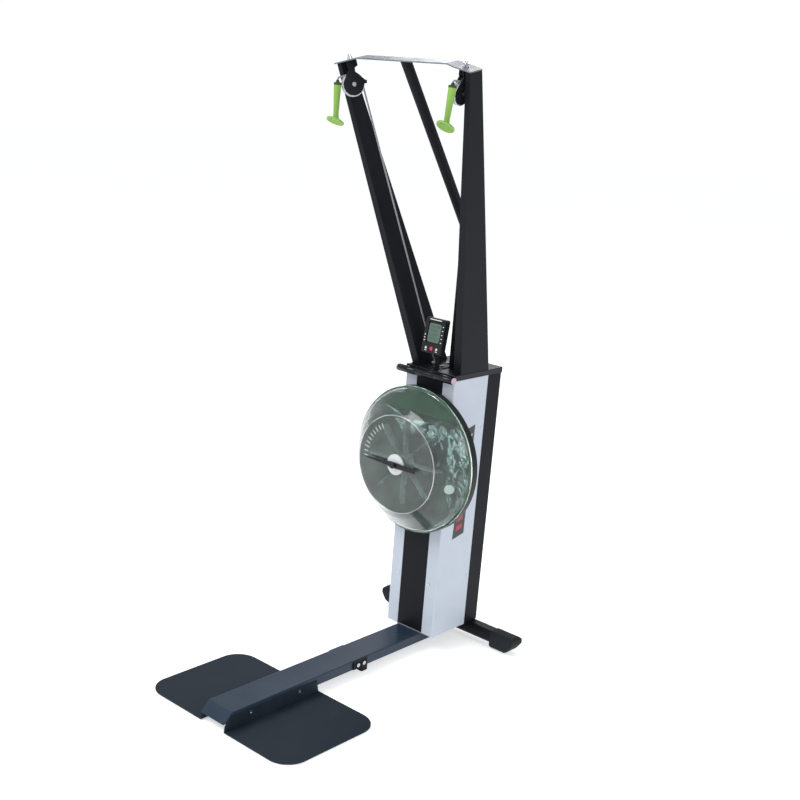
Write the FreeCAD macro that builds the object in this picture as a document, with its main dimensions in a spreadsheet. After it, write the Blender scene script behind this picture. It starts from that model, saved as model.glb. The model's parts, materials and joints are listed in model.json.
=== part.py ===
import FreeCAD, Part
import math
import os
import re
import Sketcher
from FreeCAD import Placement, Rotation, Vector

# A standing ski trainer with a water tank: two foot plates on a low beam, a sheet steel column
# that carries the tank and the rope drums, and a folding head of two arms with a swivelling rope
# wheel and a hand grip on each side. Millimetres, +Z up. The user stands on the plates and faces
# +Y, and the origin is on the floor under the middle of the machine.

doc = FreeCAD.newDocument("ski_trainer")

# ---------------------------------------------------------------- driving dimensions

DIMENSIONS = {
    "column_y": 344, "column_half": 112, "column_top": 1050, "strip_half": 60,
    "panel_depth": 191, "column_depth": 270, "panel_bottom": 68, "panel_wall": 2,
    "post_depth": 40, "post_wall": 3, "plate_half": 352, "plate_front": -619,
    "plate_back": -190, "plate_inner": 57.6, "plate_wall": 4, "plate_lift": 3,
    "plate_corner": 80, "flange_height": 50, "beam_half": 57.5, "beam_bottom": 30,
    "beam_height": 37, "beam_wall": 3, "beam_joint": 43, "beam_tip": 33,
    "stabiliser_half": 300, "stabiliser_depth": 60, "stabiliser_bottom": 20,
    "stabiliser_height": 50, "stabiliser_y": 586, "cap_start": 226, "cap_end": 330, "hinge_y": 318,
    "hinge_z": 1058, "hinge_radius": 13, "pin_radius": 6, "hinge_half": 126,
    "head_plate_bottom": 1051, "head_plate_height": 20, "arm_base_z": 1071,
    "arm_lean": 303, "arm_spread": 167, "arm_rise": 1003, "arm_base_depth": 157,
    "arm_top_depth": 56, "arm_base_width": 34, "arm_top_width": 18, "axle_z": 746,
    "shaft_radius": 8, "guide_x": 66, "guide_y": 444, "mast_y": 472, "mast_radius": 17.5,
    "tank_radius": 268, "tank_back_depth": 50, "tank_front_depth": 150, "tank_wall": 4,
    "drum_radius": 42, "drum_width": 26, "left_drum_y": 80, "right_drum_y": 122,
    "swivel_x": 226, "swivel_y": 110, "swivel_z": 2008, "swivel_lean": 12, "swivel_splay": 12,
    "wheel_reach": 9, "wheel_radius": 38, "plate_level": 74,
    "rope_radius": 3, "rope_track": 33, "left_grip_reach": 49, "right_grip_reach": 44, "left_turn": 25,
    "left_grip_lift": 20, "right_grip_lift": 32.5, "left_grip_swing": 0, "right_grip_swing": 8,
    "console_y": 366, "console_z": 1188, "console_width": 90, "console_height": 124,
    "console_depth": 24, "console_lean": 9, "plug_x": 218, "plug_y": 232, "plug_z": 707.5,
}

sheet = doc.addObject("Spreadsheet::Sheet", "dims")
for row, (alias, number) in enumerate(DIMENSIONS.items(), start=1):
    sheet.set(f"A{row}", alias)
    sheet.set(f"B{row}", str(number))
    sheet.setAlias(f"B{row}", alias)
doc.recompute()

NODES = []
WORDS_LEFT_ALONE = {"sin", "cos", "tan", "sqrt"}


def size(alias):
    """One driving dimension, read from the sheet."""
    return float(sheet.get(alias))


def formula(text):
    """The expression that FreeCAD keeps, with each alias pointed at the sheet."""
    def point(match):
        word = match.group(0)
        return word if word in WORDS_LEFT_ALONE else "dims." + word
    return re.sub(r"[a-z][a-z_0-9]*", point, str(text))


def number(text):
    """The value that a formula has now."""
    return float(sheet.evalExpression(formula(text)))


def bind(item, **formulas):
    """Bind properties of one object to formulas of the sheet."""
    for name, text in formulas.items():
        item.setExpression(name, formula(text))
    return item


def place(item, at=("0", "0", "0"), turn=None):
    """Turn one object about its own origin, then bind where that origin stands."""
    item.Placement = Placement(Vector(*[number(text) for text in at]), turn or Rotation())
    for axis, text in zip("xyz", at):
        item.setExpression(f"Placement.Base.{axis}", formula(text))
    return item


def keep(item, label):
    """Name a finished sub-part and put it on the list that is written out."""
    item.Label = label
    if item.Label != label:
        raise RuntimeError(f"the name {label} is already taken")
    NODES.append(item)
    return item


TO_X = Rotation(Vector(0, 1, 0), 90)
TO_Y = Rotation(Vector(1, 0, 0), -90)
TO_FRONT = Rotation(Vector(1, 0, 0), 90)

# ---------------------------------------------------------------- building blocks


def box(name, lengths, at, turn=None):
    """A plain block from its lowest corner."""
    item = doc.addObject("Part::Box", name)
    bind(item, Length=lengths[0], Width=lengths[1], Height=lengths[2])
    return place(item, at, turn)


def rod(name, radius, length, at, turn=None):
    """A plain cylinder that starts at a point and runs along its own axis."""
    item = doc.addObject("Part::Cylinder", name)
    bind(item, Radius=radius, Height=length)
    return place(item, at, turn)


def fuse(name, pieces):
    """Several solids joined into one."""
    item = doc.addObject("Part::MultiFuse", name)
    item.Shapes = pieces
    item.Refine = True
    return item


def cut(name, base, tool):
    """The first solid with the second taken away."""
    item = doc.addObject("Part::Cut", name)
    item.Base = base
    item.Tool = tool
    return item


def overlap(name, first, second):
    """What two solids have in common."""
    item = doc.addObject("Part::Common", name)
    item.Base = first
    item.Tool = second
    return item


def group(name, pieces):
    """Separate solids that share one node, such as a set of equal screws."""
    item = doc.addObject("Part::Compound", name)
    item.Links = pieces
    return item


def new_sketch(body, role, name):
    """A sketch on one of the body's own origin planes."""
    plane = next(f for f in body.Origin.OriginFeatures if f.Role == role)
    sketch = body.newObject("Sketcher::SketchObject", name)
    sketch.AttachmentSupport = [(plane, "")]
    sketch.MapMode = "FlatFace"
    return sketch


def hold_point(sketch, index, end, across, up):
    """Hold one point of a sketch at a pair of formulas."""
    for kind, text, axis in (("DistanceX", across, -2), ("DistanceY", up, -1)):
        if str(text) == "0":
            sketch.addConstraint(Sketcher.Constraint("PointOnObject", index, end, axis))
            continue
        held = Sketcher.Constraint(kind, -1, 1, index, end, number(text))
        sketch.setExpression(f"Constraints[{sketch.addConstraint(held)}]", formula(text))


def draw_polygon(sketch, corners):
    """A closed outline whose corners follow the sheet."""
    points = [Vector(number(a), number(b), 0) for a, b in corners]
    first = sketch.GeometryCount
    for start, end in zip(points, points[1:] + points[:1]):
        sketch.addGeometry(Part.LineSegment(start, end), False)
    last = len(points) - 1
    for step in range(len(points)):
        following = 0 if step == last else step + 1
        joint = Sketcher.Constraint("Coincident", first + step, 2, first + following, 1)
        sketch.addConstraint(joint)
    for step, (across, up) in enumerate(corners):
        hold_point(sketch, first + step, 1, across, up)


def draw_circle(sketch, across, up, radius):
    """A circle whose centre and radius follow the sheet."""
    centre = Vector(number(across), number(up), 0)
    index = sketch.addGeometry(Part.Circle(centre, Vector(0, 0, 1), number(radius)), False)
    hold_point(sketch, index, 3, across, up)
    round_size = Sketcher.Constraint("Radius", index, number(radius))
    sketch.setExpression(f"Constraints[{sketch.addConstraint(round_size)}]", formula(radius))


def pad_body(label, role, corners, length, holes=(), middle=False, back=False):
    """A body made by padding one outline, with round holes through it."""
    body = doc.addObject("PartDesign::Body", label)
    sketch = new_sketch(body, role, label + "_outline")
    draw_polygon(sketch, corners)
    for hole in holes:
        draw_circle(sketch, *hole)
    pad = body.newObject("PartDesign::Pad", label + "_pad")
    pad.Profile = sketch
    bind(pad, Length=length)
    pad.Midplane = middle
    pad.Reversed = back
    doc.recompute()
    return body


def turned_body(label, corners):
    """A body turned on its Z axis: each corner is a radius and a height."""
    body = doc.addObject("PartDesign::Body", label)
    sketch = new_sketch(body, "XZ_Plane", label + "_profile")
    draw_polygon(sketch, corners)
    spin = body.newObject("PartDesign::Revolution", label + "_turned")
    spin.Profile = sketch
    spin.ReferenceAxis = (sketch, ["V_Axis"])
    spin.Angle = 360
    doc.recompute()
    return body


def round_edges(body, radius, chosen, kind="PartDesign::Fillet"):
    """Round or chamfer the edges that a test picks out of the body's last feature."""
    base = body.Tip
    names = [f"Edge{i}" for i, edge in enumerate(base.Shape.Edges, start=1) if chosen(edge)]
    if not names:
        raise RuntimeError(body.Name + " has no edge to round")
    feature = body.newObject(kind, f"{body.Name}_edges_{len(body.Group)}")
    feature.Base = (base, names)
    bind(feature, **{"Radius" if kind.endswith("Fillet") else "Size": radius})
    doc.recompute()
    return feature


def pocket(body, role, length, circles=(), corners=None, middle=True, back=False):
    """Cut round or straight-sided openings through a body, and make sure that they cut."""
    before = body.Shape.Volume
    sketch = new_sketch(body, role, f"{body.Name}_cut_{len(body.Group)}")
    for circle in circles:
        draw_circle(sketch, *circle)
    if corners:
        draw_polygon(sketch, corners)
    feature = body.newObject("PartDesign::Pocket", f"{body.Name}_pocket_{len(body.Group)}")
    feature.Profile = sketch
    bind(feature, Length=length)
    feature.Midplane = middle
    feature.Reversed = back
    doc.recompute()
    if body.Shape.Volume > before - 1:
        raise RuntimeError(body.Name + " lost nothing in its pocket")
    return feature


def runs_along(edge, axis, least=1.0):
    """True for a straight edge along x, y or z."""
    if edge.Curve.TypeId != "Part::GeomLine" or edge.Length < least:
        return False
    way = edge.Vertexes[-1].Point - edge.Vertexes[0].Point
    return abs(getattr(way.normalize(), axis)) > 0.999


def rectangle(low_x, high_x, low_y, high_y):
    """A profile of four corners."""
    return [(low_x, low_y), (high_x, low_y), (high_x, high_y), (low_x, high_y)]


def screw(name, at, turn, head=("6", "4"), shank=("4", "14")):
    """A button-head screw: head outwards along its axis, shank inwards, with a socket."""
    head_body = rod(name + "_head", head[0], head[1], ("0", "0", "0"))
    shank_body = rod(name + "_shank", shank[0], shank[1], ("0", "0", f"-({shank[1]})"))
    solid = fuse(name + "_solid", [head_body, shank_body])
    socket = doc.addObject("Part::Prism", name + "_socket")
    socket.Polygon = 6
    bind(socket, Circumradius=f"({head[0]}) * 0.45", Height=head[1])
    place(socket, ("0", "0", f"({head[1]}) * 0.45"))
    return place(cut(name, solid, socket), at, turn)


# ---------------------------------------------------------------- beam and foot plates


def make_beams():
    """A low box beam in two lengths, with a slanted toe and a sleeve that joins them."""
    low, high = "beam_bottom", "beam_bottom + beam_height"
    hollow_low, hollow_high = "beam_bottom + beam_wall", "beam_bottom + beam_height - beam_wall"
    outer = [("plate_front", low), ("beam_joint", low), ("beam_joint", high),
             ("plate_front + beam_tip", high)]
    inner = [("plate_front + 12", hollow_low), ("beam_joint + 1", hollow_low),
             ("beam_joint + 1", hollow_high), ("plate_front + beam_tip + 2", hollow_high)]
    front = pad_body("front_beam", "YZ_Plane", outer, "beam_half * 2", middle=True)
    round_edges(front, "4", lambda e: runs_along(e, "y", 100))
    pocket(front, "YZ_Plane", "(beam_half - beam_wall) * 2", corners=inner)
    holes = [(f"beam_joint - {step}", "beam_bottom + beam_height / 2", "4.3")
             for step in (16, 46)]
    plate_holes = [(f"plate_front + {step}", "beam_bottom + 12", "4.3") for step in (110, 330)]
    pocket(front, "YZ_Plane", "beam_half * 4", circles=holes + plate_holes)
    keep(front, "front_beam")

    end = "stabiliser_y - stabiliser_depth / 2"
    rear = pad_body("rear_beam", "YZ_Plane", rectangle("beam_joint", end, low, high),
                    "beam_half * 2", middle=True)
    round_edges(rear, "4", lambda e: runs_along(e, "y", 100))
    pocket(rear, "YZ_Plane", "(beam_half - beam_wall) * 2",
           corners=rectangle("beam_joint - 1", f"{end} + 1", hollow_low, hollow_high))
    keep(rear, "rear_beam")

    gap = "0.2"
    sleeve = pad_body("beam_sleeve", "YZ_Plane",
                      rectangle("beam_joint - 90", "beam_joint + 90",
                                f"{hollow_low} + {gap}", f"{hollow_high} - {gap}"),
                      f"(beam_half - beam_wall - {gap}) * 2", middle=True)
    pocket(sleeve, "YZ_Plane", "(beam_half - beam_wall - 3.2) * 2",
           corners=rectangle("beam_joint - 91", "beam_joint + 91",
                             f"{hollow_low} + 3", f"{hollow_high} - 3"))
    pocket(sleeve, "YZ_Plane", "beam_half * 4", circles=holes)
    keep(sleeve, "beam_sleeve")
    return holes


def make_splice(holes):
    """A strap on each side of the joint, four bolts, and the rubber pad under it."""
    straps, bolts = [], []
    for side, sign in (("left", -1), ("right", 1)):
        strap = pad_body(f"splice_strap_{side}", "YZ_Plane",
                         rectangle("beam_joint - 66", "beam_joint + 4", "beam_bottom + 3",
                                   "beam_bottom + beam_height - 3"), "5", holes=holes)
        place(strap, ("beam_half" if sign > 0 else "-beam_half - 5", "0", "0"))
        straps.append(strap)
        turn = Rotation(Vector(0, 1, 0), 90 * sign)
        for step, (across, up, _) in enumerate(holes):
            bolts.append(screw(f"splice_bolt_{side}_{step}",
                               (f"{sign} * (beam_half + 5)", across, up), turn,
                               head=("7", "5"), shank=("4", "13")))
    keep(group("splice_plates", straps), "splice_plates")
    pad = pad_body("beam_pad", "XY_Plane",
                   rectangle("-44", "44", "beam_joint - 2", "beam_joint + 30"),
                   "beam_bottom")
    round_edges(pad, "5", lambda e: runs_along(e, "z"))
    keep(pad, "beam_pad")
    return bolts


def make_foot_plate(side, sign):
    """A thin steel plate with a flange that stands up against the beam's side."""
    inner, outer = f"{sign} * plate_inner", f"{sign} * plate_half"
    low, high = (inner, outer) if sign > 0 else (outer, inner)
    plate = pad_body(f"foot_sheet_{side}", "XY_Plane",
                     rectangle(low, high, "plate_front", "plate_back"), "plate_wall")
    place(plate, ("0", "0", "plate_lift"))
    edge = abs(size("plate_half")) - 1
    round_edges(plate, "plate_corner",
                lambda e: runs_along(e, "z") and abs(e.CenterOfMass.x) > edge)
    base, top = "plate_lift + plate_wall", "plate_lift + flange_height"
    outline = [("plate_front", base), ("plate_back - 4", base), ("plate_back - 14", top),
               ("plate_front + beam_tip - 6", top), ("plate_front + 3", "beam_bottom - 4")]
    places = [(f"plate_front + {step}", "beam_bottom + 12", "4.2") for step in (110, 330)]
    flange = pad_body(f"flange_{side}", "YZ_Plane", outline, "3", holes=places)
    place(flange, (inner if sign > 0 else f"{inner} - 3", "0", "0"))
    keep(fuse(f"foot_plate_{side}_welded", [plate, flange]), f"foot_plate_{side}")
    turn = Rotation(Vector(0, 1, 0), 90 * sign)
    return [screw(f"plate_bolt_{side}_{step}", (f"{sign} * (plate_inner + 3)", across, up), turn,
                  head=("7", "4"), shank=("4", "5.9"))
            for step, (across, up, _) in enumerate(places)]


def make_feet():
    """Thin round rubber pads that the foot plates stand on."""
    pads = []
    for sign in (-1, 1):
        for across in ("plate_inner + 35", "plate_half - 70"):
            for along in ("plate_front + 60", "plate_back - 60"):
                name = f"plate_foot_{len(pads)}"
                pads.append(rod(name, "18", "plate_lift", (f"{sign} * ({across})", along, "0")))
    keep(group("plate_feet", pads), "plate_feet")


def make_stabiliser():
    """A flat-sided cross tube under the back of the column, with a rubber cap at each end."""
    low, high = "stabiliser_bottom", "stabiliser_bottom + stabiliser_height"
    front = "stabiliser_y - stabiliser_depth / 2"
    back = "stabiliser_y + stabiliser_depth / 2"
    tube = pad_body("rear_stabiliser", "YZ_Plane", rectangle(front, back, low, high),
                    "stabiliser_half * 2", middle=True)
    round_edges(tube, "18", lambda e: runs_along(e, "x", 100))
    pocket(tube, "YZ_Plane", "stabiliser_half * 2 + 2",
           circles=[("stabiliser_y", "stabiliser_bottom + stabiliser_height / 2", "21")])
    keep(tube, "rear_stabiliser")
    caps = []
    for side, sign in (("left", -1), ("right", 1)):
        section = pad_body(f"cap_section_{side}", "YZ_Plane",
                           rectangle(f"{front} - 3", f"{back} + 3", "0", f"{high} + 2"),
                           "cap_end * 2", middle=True)
        round_edges(section, "19", lambda e: runs_along(e, "x", 50) and e.CenterOfMass.z > 30)
        round_edges(section, "24", lambda e: runs_along(e, "x", 50) and e.CenterOfMass.z < 5)
        outline = [("cap_start", "-1"), ("cap_end - 45", "-1"), ("cap_end - 20", "16"),
                   ("cap_end", "44"), ("cap_end", f"{high} - 8"), ("cap_end - 12", f"{high} + 3"),
                   ("cap_start", f"{high} + 3")]
        bulge = pad_body(f"cap_bulge_{side}", "XZ_Plane",
                         [(f"{sign} * ({across})", up) for across, up in outline],
                         "stabiliser_y * 2 + 200", middle=True)
        round_edges(bulge, "8", lambda e: runs_along(e, "y", 50) and e.CenterOfMass.z < 60
                    and abs(e.CenterOfMass.x) > number("cap_end - 50"))
        core = pad_body(f"cap_space_{side}", "YZ_Plane",
                        rectangle(front, back, low, high), "stabiliser_half - 220")
        round_edges(core, "18", lambda e: runs_along(e, "x", 50))
        place(core, ("220" if sign > 0 else "-stabiliser_half", "0", "0"))
        caps.append(cut(f"stabiliser_cap_{side}", overlap(f"cap_solid_{side}", section, bulge), core))
    keep(group("stabiliser_caps", caps), "stabiliser_caps")


# ---------------------------------------------------------------- column


def make_posts():
    """A box post in front, which shows as the dark strip, and a channel behind."""
    inner, outer = "strip_half - post_wall", "strip_half"
    front = pad_body("front_post", "XY_Plane",
                     rectangle(f"-{outer}", outer, "column_y", "column_y + post_depth"),
                     "column_top - beam_bottom - beam_height")
    pocket(front, "XY_Plane", "4000",
           corners=rectangle(f"-({inner})", inner, "column_y + post_wall",
                             "column_y + post_depth - post_wall"))
    place(front, ("0", "0", "beam_bottom + beam_height"))
    lift = "axle_z - beam_bottom - beam_height"
    holes = [("0", lift, "28.2")]
    holes += [(f"{a} * 38", f"{lift} + {b} * 38", "4.3") for a in (-1, 1) for b in (-1, 1)]
    pocket(front, "XZ_Plane", "4000", circles=holes)
    keep(front, "front_post")

    side, back = "column_half", "column_y + column_depth"
    mouth = "column_y + panel_depth"
    outline = [(f"-{side}", mouth), (f"-{side} + 20", mouth), (f"-{side} + 20", f"{mouth} + 3"),
               (f"-{side} + 3", f"{mouth} + 3"), (f"-{side} + 3", f"{back} - 3"),
               (f"{side} - 3", f"{back} - 3"), (f"{side} - 3", f"{mouth} + 3"),
               (f"{side} - 20", f"{mouth} + 3"), (f"{side} - 20", mouth), (side, mouth),
               (side, back), (f"-{side}", back)]
    base = "stabiliser_bottom + stabiliser_height"
    rear = pad_body("rear_channel", "XY_Plane", outline, f"column_top - ({base})")
    round_edges(rear, "6", lambda e: runs_along(e, "z") and e.CenterOfMass.y > number(back) - 1)
    place(rear, ("0", "0", base))
    lock_place = ("-22", "column_y + 232", "column_top - 26")
    lock = box("lock_block", ("44", "column_depth - 235", "26"), lock_place)
    thread = rod("lock_thread", "5.2", "60", ("0", "column_y + 252", "column_top - 40"))
    keep(cut("rear_post_tapped", fuse("rear_post_welded", [rear, lock]), thread), "rear_post")


def make_side_panel(side, sign):
    """A white sheet folded round the column's front corner, with a lip behind the strip."""
    skin, turn_in = "column_half", "strip_half + 0.5"
    front, back = "column_y - 0.5", "column_y + panel_depth - 0.3"
    outline = [(turn_in, front), (skin, front), (skin, back), ("column_half - panel_wall", back),
               ("column_half - panel_wall", "column_y - 0.5 + panel_wall"),
               (f"{turn_in} + panel_wall", "column_y - 0.5 + panel_wall"),
               (f"{turn_in} + panel_wall", "column_y + 14"), (turn_in, "column_y + 14")]
    outline = [(f"{sign} * ({across})", along) for across, along in outline]
    panel = pad_body(f"side_panel_{side}", "XY_Plane", outline, "column_top - panel_bottom")
    corner = sign * size("column_half")
    nose = number(front)
    round_edges(panel, "3.5", lambda e: runs_along(e, "z") and abs(e.CenterOfMass.x - corner) < 0.1
                and abs(e.CenterOfMass.y - nose) < 0.1)
    place(panel, ("0", "0", "panel_bottom"))
    heights = ("272", "857")
    pocket(panel, "YZ_Plane", "column_half * 3",
           circles=[("column_y + 179", f"{z} - panel_bottom", "2.6") for z in heights])
    pocket(panel, "XZ_Plane", "(column_y + 8) * 2",
           circles=[(f"{sign} * 76", f"{z} - panel_bottom", "2.6") for z in heights])
    keep(panel, f"side_panel_{side}")
    screws = []
    for step, z in enumerate(heights):
        out = Rotation(Vector(0, 1, 0), 90 * sign)
        screws.append(screw(f"panel_side_screw_{side}_{step}",
                            (f"{sign} * column_half", "column_y + 179", z), out,
                            head=("4.5", "2.5"), shank=("2.5", "8")))
        screws.append(screw(f"panel_front_screw_{side}_{step}", (f"{sign} * 76", front, z), TO_FRONT,
                            head=("4.5", "2.5"), shank=("2.5", "8")))
    return screws


def make_hinge_leaf():
    """The lower hinge leaf: a plate across the post's top and two outer knuckles."""
    top = "column_top"
    knuckles = []
    for name, start in (("left", "-hinge_half"), ("right", "hinge_half - 83.5")):
        knuckle = rod(f"knuckle_{name}", "hinge_radius", "83.5", (start, "hinge_y", "hinge_z"), TO_X)
        web = box(f"knuckle_web_{name}", ("50", "19", "9"),
                  ("-110" if name == "left" else "60", "hinge_y + 6", "hinge_z - 18"))
        knuckles += [knuckle, web]
    leaf = fuse("hinge_leaf_blank", knuckles)
    bore = rod("hinge_leaf_bore", "pin_radius + 0.05", "hinge_half * 2 + 2",
               ("-hinge_half - 1", "hinge_y", "hinge_z"), TO_X)
    bored = cut("hinge_leaf_bored", leaf, bore)
    strap = box("hinge_strap", ("221.2", "2.6", "34"), ("-110.6", "column_y - 3.2", f"{top} - 35"))
    gap = box("hinge_leaf_gap", ("hinge_half * 2 - 167 + 1", "40", "40"),
              ("-hinge_half + 83", "hinge_y - 20", f"{top} - 0.4"))
    solid = fuse("hinge_leaf_joined", [bored, strap])
    keep(cut("hinge_leaf", solid, gap), "hinge_leaf")
    pin = rod("hinge_pin_rod", "pin_radius", "hinge_half * 2 + 4",
              ("-hinge_half - 2", "hinge_y", "hinge_z"), TO_X)
    heads = [rod("hinge_pin_head_left", "hinge_radius - 1", "4", ("-hinge_half - 4.3", "hinge_y",
                                                                  "hinge_z"), TO_X),
             rod("hinge_pin_head_right", "hinge_radius - 1", "4", ("hinge_half + 0.3", "hinge_y",
                                                                   "hinge_z"), TO_X)]
    keep(fuse("hinge_pin", [pin] + heads), "hinge_pin")


# ---------------------------------------------------------------- tank and resistance dial


def plug_place():
    """Where the filler plug sits, square to the tank's sloping shoulder."""
    centre = Vector(size("plug_x"), size("plug_y"), size("plug_z"))
    radial = Vector(centre.x, 0, centre.z - size("axle_z")).normalize()
    axis = (radial + Vector(0, -1, 0)).normalize()
    return Placement(centre, Rotation(Vector(0, 0, 1), axis))


def make_tank():
    """A dark dished back, a soft ring seal, and a clear front with rounded shoulders."""
    rim, wall, back, front = "tank_radius", "tank_wall", "tank_back_depth", "tank_front_depth"
    corners = [("28.2", "2"), ("70", "2"), ("90", "12"), (f"{rim} - 26", "12"), (rim, "26"),
               (rim, f"{back} - 0.2"), (f"{rim} - 14", f"{back} - 0.2"), (f"{rim} - 14", "34"),
               (f"{rim} - 30", "17"), ("92", "17"), ("74", "7"), ("28.2", "7")]
    shell = turned_body("tank_back_shell", corners)
    place(shell, ("0", "column_y", "axle_z"), TO_FRONT)
    holes = fuse("tank_back_holes", [
        rod(f"tank_back_hole_{a}_{b}", "4.3", "60", (f"{a} * 38", "column_y + 5",
                                                     f"axle_z + {b} * 38"), TO_FRONT)
        for a in (-1, 1) for b in (-1, 1)])
    keep(cut("tank_back", shell, holes), "tank_back")

    seal = turned_body("tank_seal", [(f"{rim} - 14", back), (f"{rim} - 1", back),
                                     (f"{rim} - 1", f"{back} + 4"), (f"{rim} - 14", f"{back} + 4")])
    place(seal, ("0", "column_y", "axle_z"), TO_FRONT)
    keep(seal, "tank_seal")

    low = f"{back} + 4.2"
    corners = [(f"{rim} - 10", low), (rim, low), (rim, f"{low} + 6"), (f"{rim} - 7", f"{low} + 8"),
               (f"{rim} - 16", f"{low} + 26"), (f"{rim} - 33", f"{low} + 43"),
               (f"{rim} - 65", f"{low} + 75"), (f"{rim} - 80", f"{low} + 88"),
               (f"{rim} - 90", front), ("0", front), ("0", f"{front} - {wall}"),
               (f"{rim} - 92", f"{front} - {wall}"), (f"{rim} - 83", f"{low} + 84"),
               (f"{rim} - 68", f"{low} + 71.5"), (f"{rim} - 36", f"{low} + 39.5"),
               (f"{rim} - 20", f"{low} + 23"), (f"{rim} - 14", f"{low} + 12")]
    glass = turned_body("tank_front_shell", corners)
    place(glass, ("0", "column_y", "axle_z"), TO_FRONT)
    plug_hole = turned_body("plug_hole", rectangle("0", "12.3", "-30", "30"))
    plug_hole.Placement = plug_place()
    hub_hole = rod("hub_hole", "5.2", "60", ("0", "column_y - 120", "axle_z"), TO_FRONT)
    keep(cut("tank_front", glass, fuse("tank_front_holes", [plug_hole, hub_hole])), "tank_front")
    bolts = [screw(f"tank_bolt_{a}_{b}", (f"{a} * 38", "column_y - 7", f"axle_z + {b} * 38"),
                   TO_FRONT, head=("7", "4"), shank=("4", "60"))
             for a in (-1, 1) for b in (-1, 1)]
    return bolts


def make_plug():
    """The filler plug: a broad cap on a round stub that fits the hole in the tank's shoulder."""
    cap = turned_body("filler_plug", [("0", "-22"), ("12", "-22"), ("12", "0.8"), ("18", "0.8"),
                                      ("18", "4.5"), ("15", "7.5"), ("0", "7.5")])
    cap.Placement = plug_place()
    keep(cap, "filler_plug")


def make_dial():
    """A fixed hub disc on the tank's front and a two-ended lever that turns on it."""
    hub = turned_body("dial_hub_blank", [("5.1", "-4"), ("38", "0.2"), ("38", "4"), ("35", "7"),
                                         ("5.1", "7")])
    flat = box("dial_hub_back", ("100", "20", "100"), ("-50", "column_y - 150", "axle_z - 50"))
    place(hub, ("0", "column_y - tank_front_depth", "axle_z"), TO_FRONT)
    keep(cut("dial_hub_trimmed", hub, flat), "dial_hub")

    knob = turned_body("lever_knob", [("0", "-9"), ("5", "-9"), ("5", "7.3"), ("10", "7.3"),
                                      ("11", "22"), ("9", "25"), ("0", "25")])
    place(knob, ("0", "0", "0"), TO_FRONT)
    blade = pad_body("lever_blade", "XZ_Plane",
                     [("-134", "-1.5"), ("-40", "-7"), ("-14", "-10"), ("14", "-10"), ("40", "-9"),
                      ("98", "-6"), ("98", "6"), ("40", "9"), ("14", "10"), ("-14", "10"),
                      ("-40", "7"), ("-134", "1.5")], "5")
    place(blade, ("0", "-9", "0"))
    lever = fuse("lever_solid", [knob, blade])
    place(lever, ("0", "column_y - tank_front_depth", "axle_z"))
    keep(lever, "dial_lever")


def make_impeller():
    """Eight blades on a hub inside the tank, on a shaft that runs back into the column."""
    blades = [turned_body("impeller_hub", [("8.05", "0"), ("34", "0"), ("34", "6"), ("22", "36"),
                                           ("8.05", "36")])]
    for step in range(8):
        blade = box(f"impeller_blade_{step}", ("150", "3", "34"), ("0", "0", "0"))
        angle = step * 45
        blade.Placement = Placement(Vector(20 * math.cos(math.radians(angle)),
                                           20 * math.sin(math.radians(angle)), 2),
                                    Rotation(Vector(0, 0, 1), angle))
        blades.append(blade)
    wheel = place(fuse("impeller_blank", blades), ("0", "column_y - 70", "axle_z"), TO_FRONT)
    bore = rod("impeller_bore", "shaft_radius + 0.05", "60", ("0", "column_y - 60", "axle_z"), TO_FRONT)
    keep(cut("impeller_bored", wheel, bore), "impeller")
    shaft = rod("impeller_shaft", "shaft_radius", "306", ("0", "column_y + 196", "axle_z"), TO_FRONT)
    keep(shaft, "impeller_shaft")


def ring(name, inner, outer, width, at):
    """A plain ring on the machine's front-to-back axis; it runs from its place to the front."""
    body = turned_body(name, [(inner, "0"), (outer, "0"), (outer, width), (inner, width)])
    return place(body, at, TO_FRONT)


def make_shaft_supports():
    """Two bearings: one in a flanged housing through the front post, one in a cross plate."""
    housing = turned_body("bearing_housing",
                          [("17.6", "-4"), ("48", "-4"), ("48", "0"), ("28", "0"), ("28", "60"),
                           ("12", "60"), ("12", "56"), ("17.6", "56")])
    place(housing, ("0", "column_y + post_depth", "axle_z"), TO_FRONT)
    keep(housing, "bearing_housing")
    front = ring("front_bearing", "8.05", "17.5", "11", ("0", "column_y + 8", "axle_z"))
    rear = ring("rear_bearing", "8.05", "17.5", "11", ("0", "column_y + 189.5", "axle_z"))
    keep(group("shaft_bearings", [front, rear]), "shaft_bearings")
    plate = pad_body("bearing_plate", "XZ_Plane",
                     rectangle("-column_half + 3", "column_half - 3", "axle_z - 100", "axle_z + 100"),
                     "4", holes=[("0", "axle_z", "17.55")])
    place(plate, ("0", "column_y + panel_depth - 0.3", "0"))
    keep(plate, "bearing_plate")
    one_way = [ring(f"one_way_bearing_{name}", "8.05", "13", "20",
                    ("0", f"column_y + {name}_drum_y + 10", "axle_z")) for name in ("left", "right")]
    keep(group("one_way_bearings", one_way), "one_way_bearings")


def make_drum(name):
    """A rope drum with two flanges and a small hub for the elastic return cord."""
    rope, half = "drum_radius - rope_radius - 0.3", "drum_width / 2"
    corners = [("13.1", f"-({half})"), (rope + " + 14", f"-({half})"),
               (rope + " + 14", f"-({half}) + 3"), (rope, f"-({half}) + 3"), (rope, "4"),
               (rope + " + 14", "4"), (rope + " + 14", "7"), ("18", "7"),
               ("18", half), ("13.1", half)]
    drum = turned_body(f"{name}_spool", corners)
    place(drum, ("0", f"column_y + {name}_drum_y", "axle_z"), TO_Y)
    keep(drum, f"{name}_spool")


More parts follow.
